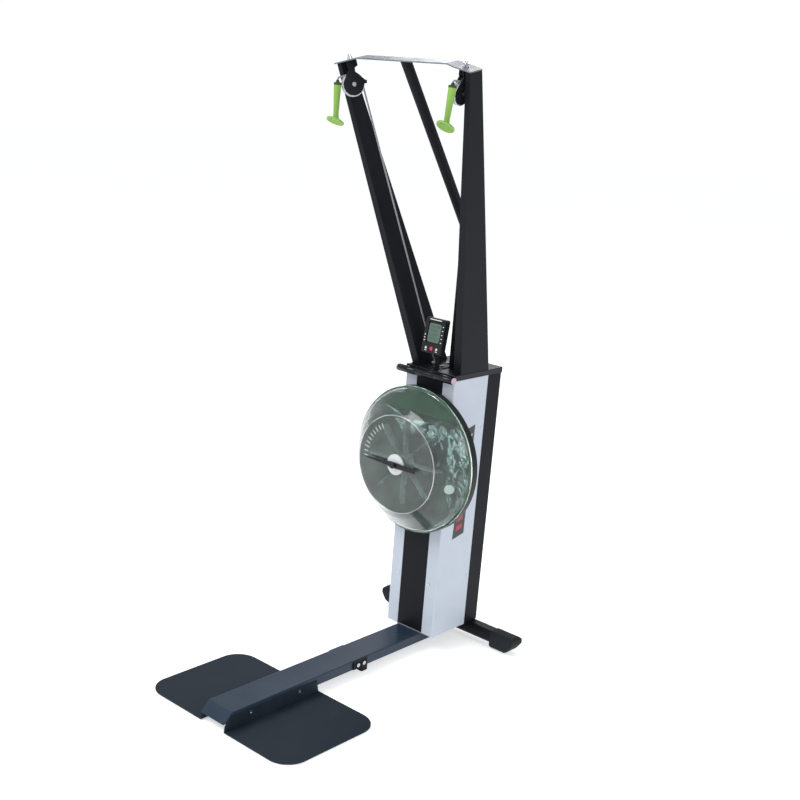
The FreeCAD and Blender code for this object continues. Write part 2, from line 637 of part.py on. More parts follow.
def make_return_cords():
    """Elastic cords from the drums' small hubs down to a bar near the column's foot."""
    cords = []
    for name in ("left", "right"):
        along = f"column_y + {name}_drum_y + 10.5"
        cords.append(rod(f"return_cord_{name}", "2.3", "axle_z - 184", ("-20.6", along, "184")))
    keep(group("recoil_cords", cords), "recoil_cords")
    bar = box("anchor_bar", ("2 * column_half - 4.4", "90", "4"),
              ("-column_half + 2.2", "column_y + 60", "170"))
    hooks = [rod(f"anchor_post_{name}", "6", "10", ("-20.6", f"column_y + {name}_drum_y + 10.5",
                                                   "174")) for name in ("left", "right")]
    keep(fuse("recoil_anchor", [bar] + hooks), "recoil_anchor")


# ---------------------------------------------------------------- folding head


def arm_section(fraction, inset=0.0):
    """One cross-section of the right arm, as a wire at a share of its height."""
    across = size("column_half") + 1 + size("arm_spread") * fraction - inset
    front = size("column_y") + 30 - size("arm_lean") * fraction + inset
    depth_change = size("arm_top_depth") - size("arm_base_depth")
    depth = size("arm_base_depth") + depth_change * fraction - 2 * inset
    width_change = size("arm_top_width") - size("arm_base_width")
    width = size("arm_base_width") + width_change * fraction - 2 * inset
    level = size("arm_base_z") + size("arm_rise") * fraction
    corners = [Vector(across - width, front, level), Vector(across, front, level),
               Vector(across, front + depth, level), Vector(across - width, front + depth, level)]
    return Part.makePolygon(corners + corners[:1])


def above_plate(frame):
    """All the space above the underside of one part of the crossplate."""
    block = Part.makeBox(600, 600, 200, Vector(-300, -300, size("plate_level")))
    block.Placement = frame
    return block


def make_arm(side, sign):
    """A tapering box arm of folded sheet that leans forward and outward."""
    outer = Part.makeLoft([arm_section(0), arm_section(1.05)], True, True)
    inner = Part.makeLoft([arm_section(-0.01, 2.5), arm_section(1.06, 2.5)], True, True)
    shape = outer.cut(inner).cut(above_plate(swivel_frame(1)))
    if sign < 0:
        shape = shape.mirror(Vector(0, 0, 0), Vector(1, 0, 0))
    arm = doc.addObject("Part::Feature", f"arm_{side}")
    arm.Shape = shape
    arm.Placement = Placement()
    keep(arm, f"arm_{side}")


def make_head_plate():
    """The folding head's base: a shallow upturned tray, its hinge knuckle and its holes."""
    half, low = "column_half + 2", "head_plate_bottom"
    front, back = "column_y - 4", "column_y + column_depth + 2"
    tray = pad_body("head_tray", "XY_Plane", rectangle(f"-({half})", half, front, back),
                    "head_plate_height")
    round_edges(tray, "5", lambda e: runs_along(e, "z"))
    round_edges(tray, "2.5", lambda e: e.CenterOfMass.z > size("head_plate_height") - 0.1)
    pocket(tray, "XY_Plane", "2 * (head_plate_height - 3)",
           corners=rectangle(f"-({half}) + 3", f"{half} - 3", f"{front} + 3", f"{back} - 3"))
    holes = [(f"{sign} * guide_x", "guide_y", "8.1") for sign in (-1, 1)]
    holes += [("0", "column_y + 252", "5.2"), ("0", "column_y + 60", "4.2")]
    pocket(tray, "XY_Plane", "4000", circles=holes)
    place(tray, ("0", "0", low))
    knuckle = rod("head_knuckle", "hinge_radius", "hinge_half * 2 - 168",
                  ("-hinge_half + 84", "hinge_y", "hinge_z"), TO_X)
    web = box("head_knuckle_web", ("hinge_half * 2 - 168", "20", "8"),
              ("-hinge_half + 84", "hinge_y + 5", "hinge_z + 3"))
    bore = rod("head_bore", "pin_radius + 0.05", "hinge_half * 2",
               ("-hinge_half", "hinge_y", "hinge_z"), TO_X)
    bored = cut("head_knuckle_bored", fuse("head_knuckle_solid", [knuckle, web]), bore)
    keep(fuse("top_plate", [tray, bored]), "top_plate")
    guides = [ring_up(f"cord_guide_{sign}", (f"{sign} * guide_x", "guide_y",
                                             f"{low} + head_plate_height - 6")) for sign in (-1, 1)]
    keep(group("cord_guides", guides), "cord_guides")
    lock = turned_body("fold_lock_screw", [("0", "-24"), ("5", "-24"), ("5", "0.2"), ("9", "0.2"),
                                           ("20", "4"), ("20", "15"), ("16", "19"), ("0", "19")])
    place(lock, ("0", "column_y + 252", f"{low} + head_plate_height"))
    keep(lock, "fold_lock_screw")


def ring_up(name, at):
    """A flanged plastic bush that stands in a hole of the head plate."""
    body = turned_body(name, [("5.5", "0"), ("8", "0"), ("8", "6.2"), ("12", "6.2"), ("12", "9"),
                              ("7", "9")])
    return place(body, at)


def tube_along(name, points, radius, bends):
    """A round bar along straight runs joined by tangent arcs."""
    edges = []
    start = points[0]
    for corner, following, bend in zip(points[1:-1], points[2:], bends):
        come, go = (corner - start).normalize(), (following - corner).normalize()
        turn = come.getAngle(go)
        reach = bend * math.tan(turn / 2)
        first, last = corner - come * reach, corner + go * reach
        middle_way = (go - come).normalize()
        centre = corner + middle_way * (bend / math.cos(turn / 2))
        edges.append(Part.LineSegment(start, first).toShape())
        edges.append(Part.Arc(first, centre - middle_way * bend, last).toShape())
        start = last
    edges.append(Part.LineSegment(start, points[-1]).toShape())
    path = Part.Wire(edges)
    first_way = (points[1] - points[0]).normalize()
    ring_edge = Part.makeCircle(radius, points[0], first_way)
    shape = path.makePipeShell([Part.Wire([ring_edge])], True, False)
    expected = math.pi * radius ** 2 * path.Length
    print(f"{name}: length {path.Length:.0f} mm, bends {bends}, volume {shape.Volume / expected:.3f}")
    return shape


def make_mast():
    """The round centre mast: up from the head plate, then leaning forward to the crossplate."""
    y, base = size("mast_y"), size("arm_base_z")
    points = [Vector(0, y, base), Vector(0, y, 1558), Vector(0, y - 398, 2118)]
    outer = tube_along("rear_mast", points, size("mast_radius"), [90])
    inner = tube_along("rear_mast_bore", points, size("mast_radius") - 2.5, [90])
    mast = doc.addObject("Part::Feature", "rear_mast")
    mast.Shape = outer.cut(inner).cut(above_plate(middle_frame()))
    mast.Placement = Placement()
    keep(mast, "rear_mast")


def swivel_frame(sign, turn=0.0):
    """The place of one rope block: turned about its swivel bolt, which leans with the arms."""
    centre = Vector(sign * size("swivel_x"), size("swivel_y"), size("swivel_z"))
    lean = Rotation(Vector(1, 0, 0), size("swivel_lean"))
    splay = Rotation(Vector(0, 1, 0), sign * size("swivel_splay"))
    swivel = Rotation(Vector(0, 0, 1), turn)
    return Placement(centre, lean.multiply(splay).multiply(swivel))


PLATE_FOLD = 53


def middle_frame():
    """The place of the crossplate's level middle, whose ends fold down towards the arms."""
    splay = math.radians(size("swivel_splay"))
    level = size("plate_level")
    lift = PLATE_FOLD * math.sin(splay) + level * math.cos(splay) - level
    lean = Rotation(Vector(1, 0, 0), size("swivel_lean"))
    base = Vector(0, size("swivel_y"), size("swivel_z")) + lean.multVec(Vector(0, 0, lift))
    return Placement(base, lean)


def make_crossplate():
    """A bright plate across the arms; its ends fold down and carry the swivel bolts."""
    splay = math.radians(size("swivel_splay"))
    fold = (size("swivel_x") - PLATE_FOLD * math.cos(splay)
            + (size("plate_level") + 4) * math.sin(splay))
    middle = pad_body("crossplate_middle", "XY_Plane",
                      rectangle(f"-{fold}", str(fold), "-27", "27"), "4")
    middle.Placement = middle_frame().multiply(Placement(Vector(0, 0, size("plate_level")), Rotation()))
    pieces = [middle]
    for sign in (-1, 1):
        outline = [(-PLATE_FOLD, -27), (-20, -33), (44, -31), (44, 25), (-20, 31), (-PLATE_FOLD, 27)]
        end = pad_body(f"crossplate_end_{len(pieces)}", "XY_Plane",
                       [(str(sign * across), str(along)) for across, along in outline], "4",
                       holes=[("0", "0", "5.3")])
        end.Placement = swivel_frame(sign).multiply(
            Placement(Vector(0, 0, size("plate_level")), Rotation()))
        pieces.append(end)
    keep(fuse("crossplate_solid", pieces), "crossplate")


def make_yoke(name, sign, turn):
    """A rope block: a small channel, two cheeks that flare from it round the wheel, and pins."""
    cheek = [("-18", "70"), ("-18", "54"), ("-15", "50"), ("-35", "22"), ("-42", "12"),
             ("-44", "-2"), ("-40", "-17"), ("-29", "-29"), ("-14", "-34.5"), ("-4", "-34.5"),
             ("11", "-29"), ("22", "-17"), ("27", "-6"), ("37", "-5"), ("38", "3"), ("31", "8"),
             ("22", "18"), ("12", "30"), ("5", "38"), ("7", "50"), ("18", "54"), ("18", "70")]
    pieces = [box(f"{name}_yoke_top", ("20", "36", "4"), ("-10", "-18", "69.7"))]
    for start in ("-9.9", "6.9"):
        side = pad_body(f"{name}_cheek_{len(pieces)}", "YZ_Plane", cheek, "3",
                        holes=[("-wheel_reach", "0", "4.05")])
        pieces.append(place(side, (start, "0", "0")))
    for along, up in (("-5", "46"), ("33.5", "0")):
        pieces.append(rod(f"{name}_spacer_{len(pieces)}", "2.5", "19", ("-9.5", along, up), TO_X))
    solid = fuse(f"{name}_yoke_solid", pieces)
    hole = rod(f"{name}_yoke_hole", "5.3", "10", ("0", "0", "66"))
    frame = swivel_frame(sign, turn)
    yoke = cut(f"{name}_yoke_drilled", solid, hole)
    yoke.Placement = frame
    keep(yoke, f"{name}_yoke")

    centre = frame.multiply(Placement(Vector(0, -size("wheel_reach"), 0), Rotation()))
    axle = fuse(f"{name}_axle_solid", [rod(f"{name}_axle_rod", "4", "24", ("-12", "0", "0"), TO_X),
                                       rod(f"{name}_axle_head", "7", "4", ("9.9", "0", "0"), TO_X),
                                       rod(f"{name}_axle_nut", "7", "4", ("-13.9", "0", "0"), TO_X)])
    axle.Placement = centre
    keep(axle, f"{name}_axle")
    deep = "rope_track - rope_radius - 0.3"
    groove = [("4.1", "-6.6"), ("10", "-6.6"), ("10", "-6.4"), ("wheel_radius", "-6.4"),
              ("wheel_radius", "-5.6"), (deep, "-3.4"), (deep, "3.4"), ("wheel_radius", "5.6"),
              ("wheel_radius", "6.4"), ("10", "6.4"), ("10", "6.6"), ("4.1", "6.6")]
    wheel = turned_body(f"{name}_wheel", groove)
    wheel.Placement = centre.multiply(Placement(Vector(), TO_X))
    keep(wheel, f"{name}_wheel")


def make_swivel_bolts():
    """The bolt, washer and nut that hang each rope block under the crossplate."""
    bolts = []
    for sign in (-1, 1):
        bolt = turned_body(f"swivel_bolt_{sign}", [("0", "63"), ("6.2", "63"), ("6.2", "69.5"),
                                                   ("5", "69.5"), ("5", "78.2"), ("10", "78.2"),
                                                   ("10", "80"), ("8.5", "80"), ("8.5", "87"),
                                                   ("5", "88"), ("5", "96"), ("0", "96")])
        bolt.Placement = swivel_frame(sign)
        bolts.append(bolt)
    return bolts


def grip_place(name, sign, turn):
    """Where a parked grip hangs: its top beside its wheel, its foot swung a little outwards."""
    frame = swivel_frame(sign, turn)
    reach = size("wheel_reach") + size(f"{name}_grip_reach")
    top = frame.multVec(Vector(0, -reach, size(f"{name}_grip_lift")))
    out = frame.Rotation.multVec(Vector(0, -1, 0))
    out.z = 0
    swing = Rotation(out.cross(Vector(0, 0, 1)), size(f"{name}_grip_swing"))
    return Placement(top, swing)


def make_grip(name, sign, turn):
    """A pole grip: a tapering handle, and a broad foot flange that faces a little forward."""
    stem = turned_body(f"{name}_grip_stem",
                       [("0", "-4.5"), ("11.5", "-4.5"), ("12", "-9"), ("11", "-40"), ("9.5", "-78"),
                        ("8.6", "-104"), ("11", "-116"), ("0", "-121")])
    flange = turned_body(f"{name}_grip_flange",
                         [("0", "4"), ("13", "4"), ("29", "-1"), ("30.5", "-4"), ("29", "-7"),
                          ("0", "-4")])
    tilt = Rotation(Vector(1, 0, 0), -25)
    flange.Placement = Placement(Vector(0, 0, -119), tilt)
    eye = turned_body(f"{name}_grip_eye", rectangle("0", "3", "-10", "10"))
    eye.Placement = Placement(Vector(0, 0, -119) + tilt.multVec(Vector(0, -22, 0)), tilt)
    grip = cut(f"{name}_grip_drilled", fuse(f"{name}_grip_solid", [stem, flange]), eye)
    grip.Placement = grip_place(name, sign, turn)
    keep(grip, f"{name}_handle")


def touch(centre, radius, target, side, across, up):
    """Where a straight run from a point outside touches a round track, and at which angle."""
    local = target - centre
    flat = Vector(local.dot(across), local.dot(up), 0)
    angle = math.atan2(flat.y, flat.x) + side * math.acos(radius / flat.Length)
    return centre + across * radius * math.cos(angle) + up * radius * math.sin(angle), angle


def make_rope(name, sign, turn):
    """One rope, whole: grip, over the wheel, down the arm, through its guide, onto the drum."""
    frame, track, radius = swivel_frame(sign, turn), size("rope_track"), size("rope_radius")
    hub = frame.multVec(Vector(0, -size("wheel_reach"), 0))
    along, up = (frame.Rotation.multVec(way) for way in (Vector(0, 1, 0), Vector(0, 0, 1)))
    guide = Vector(sign * size("guide_x"), size("guide_y"), size("arm_base_z"))
    drum = Vector(0, size("column_y") + size(f"{name}_drum_y") - 3, size("axle_z"))
    grip = grip_place(name, sign, turn).Base

    first, first_angle = touch(hub, track, grip, -1, along, up)
    last, last_angle = touch(hub, track, guide, 1, along, up)
    middle = (first_angle % (2 * math.pi) + last_angle) / 2
    crown = hub + along * track * math.cos(middle) + up * track * math.sin(middle)
    end, _ = touch(drum, size("drum_radius"), guide, -1, Vector(1, 0, 0), Vector(0, 0, 1))

    come, go = (guide - last).normalize(), (end - guide).normalize()
    bend = 60
    angle = come.getAngle(go)
    reach = bend * math.tan(angle / 2)
    inward = (go - come).normalize()
    centre = guide + inward * (bend / math.cos(angle / 2))
    before, after = guide - come * reach, guide + go * reach
    runs = [Part.LineSegment(grip, first), Part.Arc(first, crown, last),
            Part.LineSegment(last, before), Part.Arc(before, centre - inward * bend, after),
            Part.LineSegment(after, end)]
    edges = [run.toShape() for run in runs]
    shape = None
    for edge in edges:
        start = edge.FirstParameter
        ring_edge = Part.makeCircle(radius, edge.valueAt(start), edge.tangentAt(start))
        solid = Part.Wire([edge]).makePipeShell([Part.Wire([ring_edge])], True, False)
        shape = solid if shape is None else shape.fuse(solid)
    length = sum(edge.Length for edge in edges)
    expected = math.pi * radius ** 2 * length
    print(f"{name}_cord: length {length:.0f} mm, volume share {shape.Volume / expected:.3f}, "
          f"guide bend {math.degrees(angle):.0f} degrees")
    low, way = drum - Vector(0, 6, 0), Vector(0, 1, 0)
    wound = Part.makeCylinder(size("drum_radius") + radius + 0.2, 12, low, way).cut(
        Part.makeCylinder(size("drum_radius") - radius + 0.4, 12, low, way))
    whole = wound.fuse(shape)
    if whole.Volume < shape.Volume + 0.8 * wound.Volume:
        raise RuntimeError(name + "_cord lost its turns on the drum")
    rope = doc.addObject("Part::Feature", f"{name}_cord")
    rope.Shape = whole
    rope.Placement = Placement()
    keep(rope, f"{name}_cord")


# ---------------------------------------------------------------- console

KEYS = {"start_button": ("0", "-45", "7"), "left_key": ("-24", "-45", "4.5"),
        "right_key": ("24", "-45", "4.5")}


def make_console():
    """A small upright computer on a bent bracket, with a window, three keys and a pivot."""
    lean = Rotation(Vector(1, 0, 0), -size("console_lean"))
    stand = ("0", "console_y", "console_z")
    case = pad_body("console_case", "XZ_Plane",
                    rectangle("-console_width / 2", "console_width / 2", "-console_height / 2",
                              "console_height / 2"), "console_depth")
    round_edges(case, "8", lambda e: runs_along(e, "y"))
    face = -size("console_depth")
    round_edges(case, "3", lambda e: abs(e.CenterOfMass.y - face) < 0.1)
    pocket(case, "XZ_Plane", "(console_depth - 3) * 2",
           corners=rectangle("-36", "36", "-56", "56"))
    wells = [(across, up, f"{radius} + 0.3") for across, up, radius in KEYS.values()]
    pocket(case, "XZ_Plane", "console_depth * 2 + 2", circles=wells,
           corners=rectangle("-30", "30", "-28", "48"))
    place(case, stand, lean)
    keep(case, "console_case")

    lens = pad_body("console_lens", "XZ_Plane", rectangle("-31.5", "31.5", "-29.5", "49.5"), "2.8")
    offset = lean.multVec(Vector(0, -(size("console_depth") - 5.9), 0))
    stand_now = Vector(*[number(text) for text in stand])
    lens.Placement = Placement(stand_now + offset, lean)
    keep(lens, "console_lens")

    cover = pad_body("console_cover", "XZ_Plane", rectangle("-35.5", "35.5", "-55.5", "55.5"), "3")
    ears = [box(f"console_ear_{step}", ("4", "20", "17.5"), (across, "-0.1", "-55.5"))
            for step, across in enumerate(("-14", "10"))]
    back = fuse("console_back_blank", [cover] + ears)
    bore = rod("console_ear_bore", "3.05", "60", ("-30", "12", "-50"), TO_X)
    cover = place(cut("console_back_bored", back, bore), stand, lean)
    keep(cover, "console_back")

    for name, (across, up, radius) in KEYS.items():
        key = turned_body(name, [("0", "-2"), (f"{radius} + 1.5", "-2"), (f"{radius} + 1.5", "-0.2"),
                                 (radius, "-0.2"), (radius, "3.6"), (f"{radius} - 0.8", "4.4"),
                                 ("0", "4.6")])
        where = Placement(stand_now, lean).multiply(
            Placement(Vector(number(across), -(size("console_depth") - 3), number(up)), TO_FRONT))
        key.Placement = where
        keep(key, name)


def make_console_bracket():
    """A bent strap that stands on the head plate, and the pivot screw and knob."""
    lean = Rotation(Vector(1, 0, 0), -size("console_lean"))
    frame = Placement(Vector(0, size("console_y"), size("console_z")), lean)
    pivot = frame.multVec(Vector(0, 12, -50))
    base = size("head_plate_bottom") + size("head_plate_height")
    foot = box("bracket_foot", ("36", "58", "3"), ("-18", f"{pivot.y + 5}", f"{base}"))
    post = box("bracket_post", ("19.6", "3", f"{pivot.z - base + 5}"),
               ("-9.8", f"{pivot.y + 5}", f"{base}"))
    eye = rod("bracket_eye", "8", "19.6", ("-9.8", f"{pivot.y}", f"{pivot.z}"), TO_X)
    bore = rod("bracket_bore", "3.05", "60", ("-30", f"{pivot.y}", f"{pivot.z}"), TO_X)
    hole = rod("bracket_hole", "4.2", "20", ("0", "column_y + 60", f"{base - 5}"))
    solid = fuse("bracket_solid", [foot, post, eye])
    keep(cut("console_bracket", solid, fuse("bracket_holes", [bore, hole])), "console_bracket")
    pin = fuse("console_pivot", [
        rod("pivot_rod", "3", "36", ("-18", f"{pivot.y}", f"{pivot.z}"), TO_X),
        rod("pivot_head", "6", "4", ("-18.3", f"{pivot.y}", f"{pivot.z}"), TO_X),
        rod("pivot_knob", "11", "12", ("14.3", f"{pivot.y}", f"{pivot.z}"), TO_X)])
    keep(pin, "console_pivot")
    print(f"console pivot at y {pivot.y:.2f}, z {pivot.z:.2f}")


def make_top_bolts():
    """Screws through the head plate: one in the console bracket and two beside the mast."""
    base = "head_plate_bottom + head_plate_height"
    bolts = [screw("bracket_bolt", ("0", "column_y + 60", f"{base} + 3"), Rotation(),
                   head=("6.5", "5"), shank=("4", "14"))]
    for side, across in (("left", "-30"), ("right", "30")):
        bolts.append(rod(f"mast_bolt_{side}", "6", "5", (across, "mast_y", base)))
    return bolts


# ---------------------------------------------------------------- the whole machine


def build_machine():
    """Make every sub-part, and collect the fasteners that share nodes."""
    holes = make_beams()
    frame_bolts = make_splice(holes)
    panel_screws = []
    for side, sign in (("left", -1), ("right", 1)):
        frame_bolts += make_foot_plate(side, sign)
        panel_screws += make_side_panel(side, sign)
        make_arm(side, sign)
    keep(group("panel_screws", panel_screws), "panel_screws")
    make_feet()
    make_stabiliser()
    make_posts()
    make_hinge_leaf()
    frame_bolts += make_tank()
    keep(group("frame_bolts", frame_bolts), "frame_bolts")
    make_plug()
    make_dial()
    make_impeller()
    make_shaft_supports()
    make_drum("left")
    make_drum("right")
    make_return_cords()
    make_head_plate()
    make_mast()
    make_crossplate()
    for name, sign, turn in (("left", -1, -size("left_turn")), ("right", 1, 0)):
        make_yoke(name, sign, turn)
        make_grip(name, sign, turn)
        make_rope(name, sign, turn)
    make_console()
    make_console_bracket()
    keep(group("head_bolts", make_swivel_bolts() + make_top_bolts()), "head_bolts")


def write_parts():
    """Check every object, then write each sub-part to its own file."""
    doc.recompute()
    for item in doc.Objects:
        if "Invalid" in item.State or "Error" in item.State:
            raise RuntimeError(f"{item.Name} did not compute: {item.State}")
    os.makedirs("parts", exist_ok=True)
    for item in NODES:
        shape = item.Shape
        if shape.isNull() or not shape.isValid():
            raise RuntimeError(item.Label + " has no valid shape")
        shape.exportStep(f"parts/{item.Label}.step")
        print(f"{item.Label}: {len(shape.Solids)} solids, {shape.Volume / 1000:.1f} cm3")
    print(len(NODES), "sub-parts written")


build_machine()
write_parts()
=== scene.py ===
# %% [markdown]
# A standing ski trainer, dressed on its working frame.
#
# The real machine stands on two steel foot plates. A sheet steel column carries a tank of water in
# front and a folding head on top. The user pulls two green grips, and each rope runs over a wheel
# high up on an arm, down the arm and into the column, where a drum turns the paddle in the water.
#
# Every metal and plastic part already has its true shape in the frame, so this lesson does two
# things: it gives each of those parts a finish, and it models what a workshop drawing leaves plain,
# such as the soft grips, the braided ropes, the water and the display.

# %% Load the frame
import json
import math

import bpy
import numpy as np
from mathutils import Matrix, Vector


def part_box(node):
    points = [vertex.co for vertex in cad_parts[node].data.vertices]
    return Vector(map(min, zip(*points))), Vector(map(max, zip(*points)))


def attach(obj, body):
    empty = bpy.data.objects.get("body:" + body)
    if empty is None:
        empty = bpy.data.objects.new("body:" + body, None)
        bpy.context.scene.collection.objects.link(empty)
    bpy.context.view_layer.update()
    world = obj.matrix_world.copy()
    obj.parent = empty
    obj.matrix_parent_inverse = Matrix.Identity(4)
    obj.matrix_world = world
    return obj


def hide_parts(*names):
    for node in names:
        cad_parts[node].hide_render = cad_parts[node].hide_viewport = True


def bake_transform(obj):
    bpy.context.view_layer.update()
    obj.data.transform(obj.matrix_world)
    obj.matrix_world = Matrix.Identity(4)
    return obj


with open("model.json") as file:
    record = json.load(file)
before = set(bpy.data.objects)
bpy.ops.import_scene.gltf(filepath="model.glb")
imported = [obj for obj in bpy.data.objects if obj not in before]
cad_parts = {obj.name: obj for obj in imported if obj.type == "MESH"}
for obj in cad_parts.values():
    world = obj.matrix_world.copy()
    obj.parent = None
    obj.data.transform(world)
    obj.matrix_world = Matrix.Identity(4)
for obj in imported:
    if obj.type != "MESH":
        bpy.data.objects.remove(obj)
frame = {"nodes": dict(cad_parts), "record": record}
for name in ("Cube", "Light", "Camera"):
    if name in bpy.data.objects:
        bpy.data.objects.remove(bpy.data.objects[name])
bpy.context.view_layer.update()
nodes = frame["nodes"]
joints = {joint["name"]: joint for joint in frame["record"]["behaviour"]["joints"]}
SIDES = ("left", "right")

# %% [markdown]
# Every new piece below is a grid of points: one direction of the grid runs round or across the
# piece and the other runs along it. numpy works out all the points at once, and one helper turns
# the grid into faces. A grid that closes on itself leaves no seam, and one flat face closes each of
# its open ends.

# %% A mesh from a grid of points
def grid_piece(name, points, round_u=True, round_v=False, smooth=True):
    """points[u, v] is a place in metres; u runs round the piece and v along it. Faces join each
    point to its neighbours at u + 1 and v + 1. Where v doesn't come round to its start, each end
    gets one face over all its points."""
    across, along = points.shape[:2]
    index = np.arange(across * along).reshape(across, along)
    if round_v:
        index = np.concatenate([index, index[:, :1]], axis=1)
    after = np.roll(index, -1, axis=0) if round_u else index[1:]
    before = index if round_u else index[:-1]
    quads = np.stack([before[:, :-1], after[:, :-1], after[:, 1:], before[:, 1:]], axis=-1)
    faces = quads.reshape(-1, 4).tolist()
    if round_u and not round_v:
        faces += [index[::-1, 0].tolist(), index[:, -1].tolist()]
    mesh = bpy.data.meshes.new(name)
    mesh.from_pydata(points.reshape(-1, 3).tolist(), [], faces)
    mesh.update()
    mesh.polygons.foreach_set("use_smooth", np.full(len(mesh.polygons), smooth))
    piece = bpy.data.objects.new(name, mesh)
    bpy.context.collection.objects.link(piece)
    return piece


def wrap_uv(piece, points, width):
    """A UV map for a tube: u counts turns round it and v counts its length in widths."""
    across, along = points.shape[:2]
    turn = np.arange(across + 1) / across
    steps = np.linalg.norm(np.diff(points.mean(axis=0), axis=0), axis=1)
    length = np.concatenate([[0.0], np.cumsum(steps)]) / width
    uv = np.zeros((len(piece.data.loops), 2))
    quads = uv[:4 * across * (along - 1)].reshape(across, along - 1, 4, 2)
    quads[:, :, [0, 3], 0] = turn[:-1, None, None]
    quads[:, :, [1, 2], 0] = turn[1:, None, None]
    quads[:, :, :2, 1] = length[None, :-1, None]
    quads[:, :, 2:, 1] = length[None, 1:, None]
    layer = piece.data.uv_layers.new(name="wrap")
    layer.data.foreach_set("uv", uv.ravel())


def joined(name, parts):
    """Several meshes as one object, for a piece that is made of more than one closed shell."""
    bpy.ops.object.select_all(action="DESELECT")
    for part in parts:
        part.select_set(True)
    bpy.context.view_layer.objects.active = parts[0]
    bpy.ops.object.join()
    parts[0].name = parts[0].data.name = name
    return parts[0]


print("grid helpers ready, round both ways, one way or neither")

# %% [markdown]
# Three shapes cover nearly every new piece. A lathe makes a grip, a knuckle or a tank by carrying a
# profile round an axis. A rope is a round section carried along a path. A printed mark or a bar of
# a digit is a small slab with round corners. Each is a formula for the points of a grid.

# %% A shape turned round an axis
def turned(name, profile, origin, axis, count=64, loop=False):
    """A profile of (distance from the axis, height along it) carried once round the axis:
    point = origin + distance * (cos t * side + sin t * other side) + height * axis.
    A loop is a profile that comes round to its first point, so the piece is a ring."""
    axis = np.array(axis, dtype=float) / np.linalg.norm(axis)
    upright = abs(axis[2]) > 0.9
    side = np.cross([0.0, 1.0, 0.0] if upright else [0.0, 0.0, 1.0], axis)
    side /= np.linalg.norm(side)
    other = np.cross(axis, side)
    t = np.linspace(0, 2 * np.pi, count, endpoint=False)[:, None, None]
    distance, height = np.array(profile, dtype=float).T
    ring = np.cos(t) * side + np.sin(t) * other
    points = np.array(origin) + distance[None, :, None] * ring + height[None, :, None] * axis
    return grid_piece(name, points, round_v=loop)


print("turned shapes ready")

# %% A tube along a path
START_SIDE = (0.3, 0.2, 0.93)


def tube(name, path, radius, count=16):
    """A round section carried along the path: point = path + radius * (cos t * side + sin t * other).
    The section's two directions are turned step by step with the path, so the tube never twists.
    The first one is square to the path and to START_SIDE, a way that no path here runs in."""
    path = np.asarray(path, dtype=float)
    way = np.gradient(path, axis=0)
    way /= np.linalg.norm(way, axis=1)[:, None]
    side = np.empty_like(way)
    side[0] = np.cross(way[0], START_SIDE)
    side[0] /= np.linalg.norm(side[0])
    for step in range(1, len(way)):
        side[step] = side[step - 1] - way[step] * (side[step - 1] @ way[step])
        side[step] /= np.linalg.norm(side[step])
    other = np.cross(way, side)
    t = np.linspace(0, 2 * np.pi, count, endpoint=False)[:, None, None]
    points = path + radius * (np.cos(t) * side + np.sin(t) * other)
    piece = grid_piece(name, points)
    wrap_uv(piece, points, radius * 2)
    return piece


print("tubes ready")

# %% A slab with round corners
CORNER_SHARE = 0.25
EDGE_SHARE = 0.97
QUARTER_TURNS = ((1, 0), (0, 1), (-1, 0), (0, -1))
CORNER_SIGNS = ((1, 1), (-1, 1), (-1, -1), (1, -1))
ARC_POINTS = 5


def block(name, centre, size, axes):
    """A slab whose outline is a rounded rectangle on the first two axes: a quarter circle at each
    corner, turned by 90 degrees each time. Both ends of the third axis are drawn in a little."""
    axes = np.array(axes, dtype=float)
    half = np.array(size, dtype=float) / 2
    bend = CORNER_SHARE * half[:2].min()
    t = np.linspace(0, np.pi / 2, ARC_POINTS)
    arc = np.stack([np.cos(t), np.sin(t)], axis=1) * bend
    quarters = []
    for (cosine, sine), signs in zip(QUARTER_TURNS, CORNER_SIGNS):
        quarter = arc @ np.array([[cosine, sine], [-sine, cosine]])
        quarters.append(quarter + np.array(signs) * (half[:2] - bend))
    outline = np.concatenate(quarters)
    levels = np.array([-1.0, -0.7, 0.7, 1.0]) * half[2]
    shrink = np.array([EDGE_SHARE, 1.0, 1.0, EDGE_SHARE])
    flat = outline[:, None, :] * shrink[None, :, None]
    points = (np.array(centre) + flat[..., 0:1] * axes[0] + flat[..., 1:2] * axes[1]
              + levels[None, :, None] * axes[2])
    return grid_piece(name, points, smooth=False)


print("slabs ready, with", len(CORNER_SIGNS) * ARC_POINTS, "points round each")

# %% [markdown]
# Finishes. A powder coated sheet is never one flat colour: the coat has a faint orange peel, its
# gloss drifts from place to place, and handling leaves slightly duller patches. All of that can be
# made from noise that is read in the piece's own coordinates, so it stays on the part when it
# moves. One recipe serves every coated, moulded or plated surface; only its numbers change.

# %% One recipe for plain surfaces
NOISE_LOW, NOISE_HIGH = 0.3, 0.7
GLOSS_DRIFT = 0.15
COAT_ROUGHNESS = 0.08


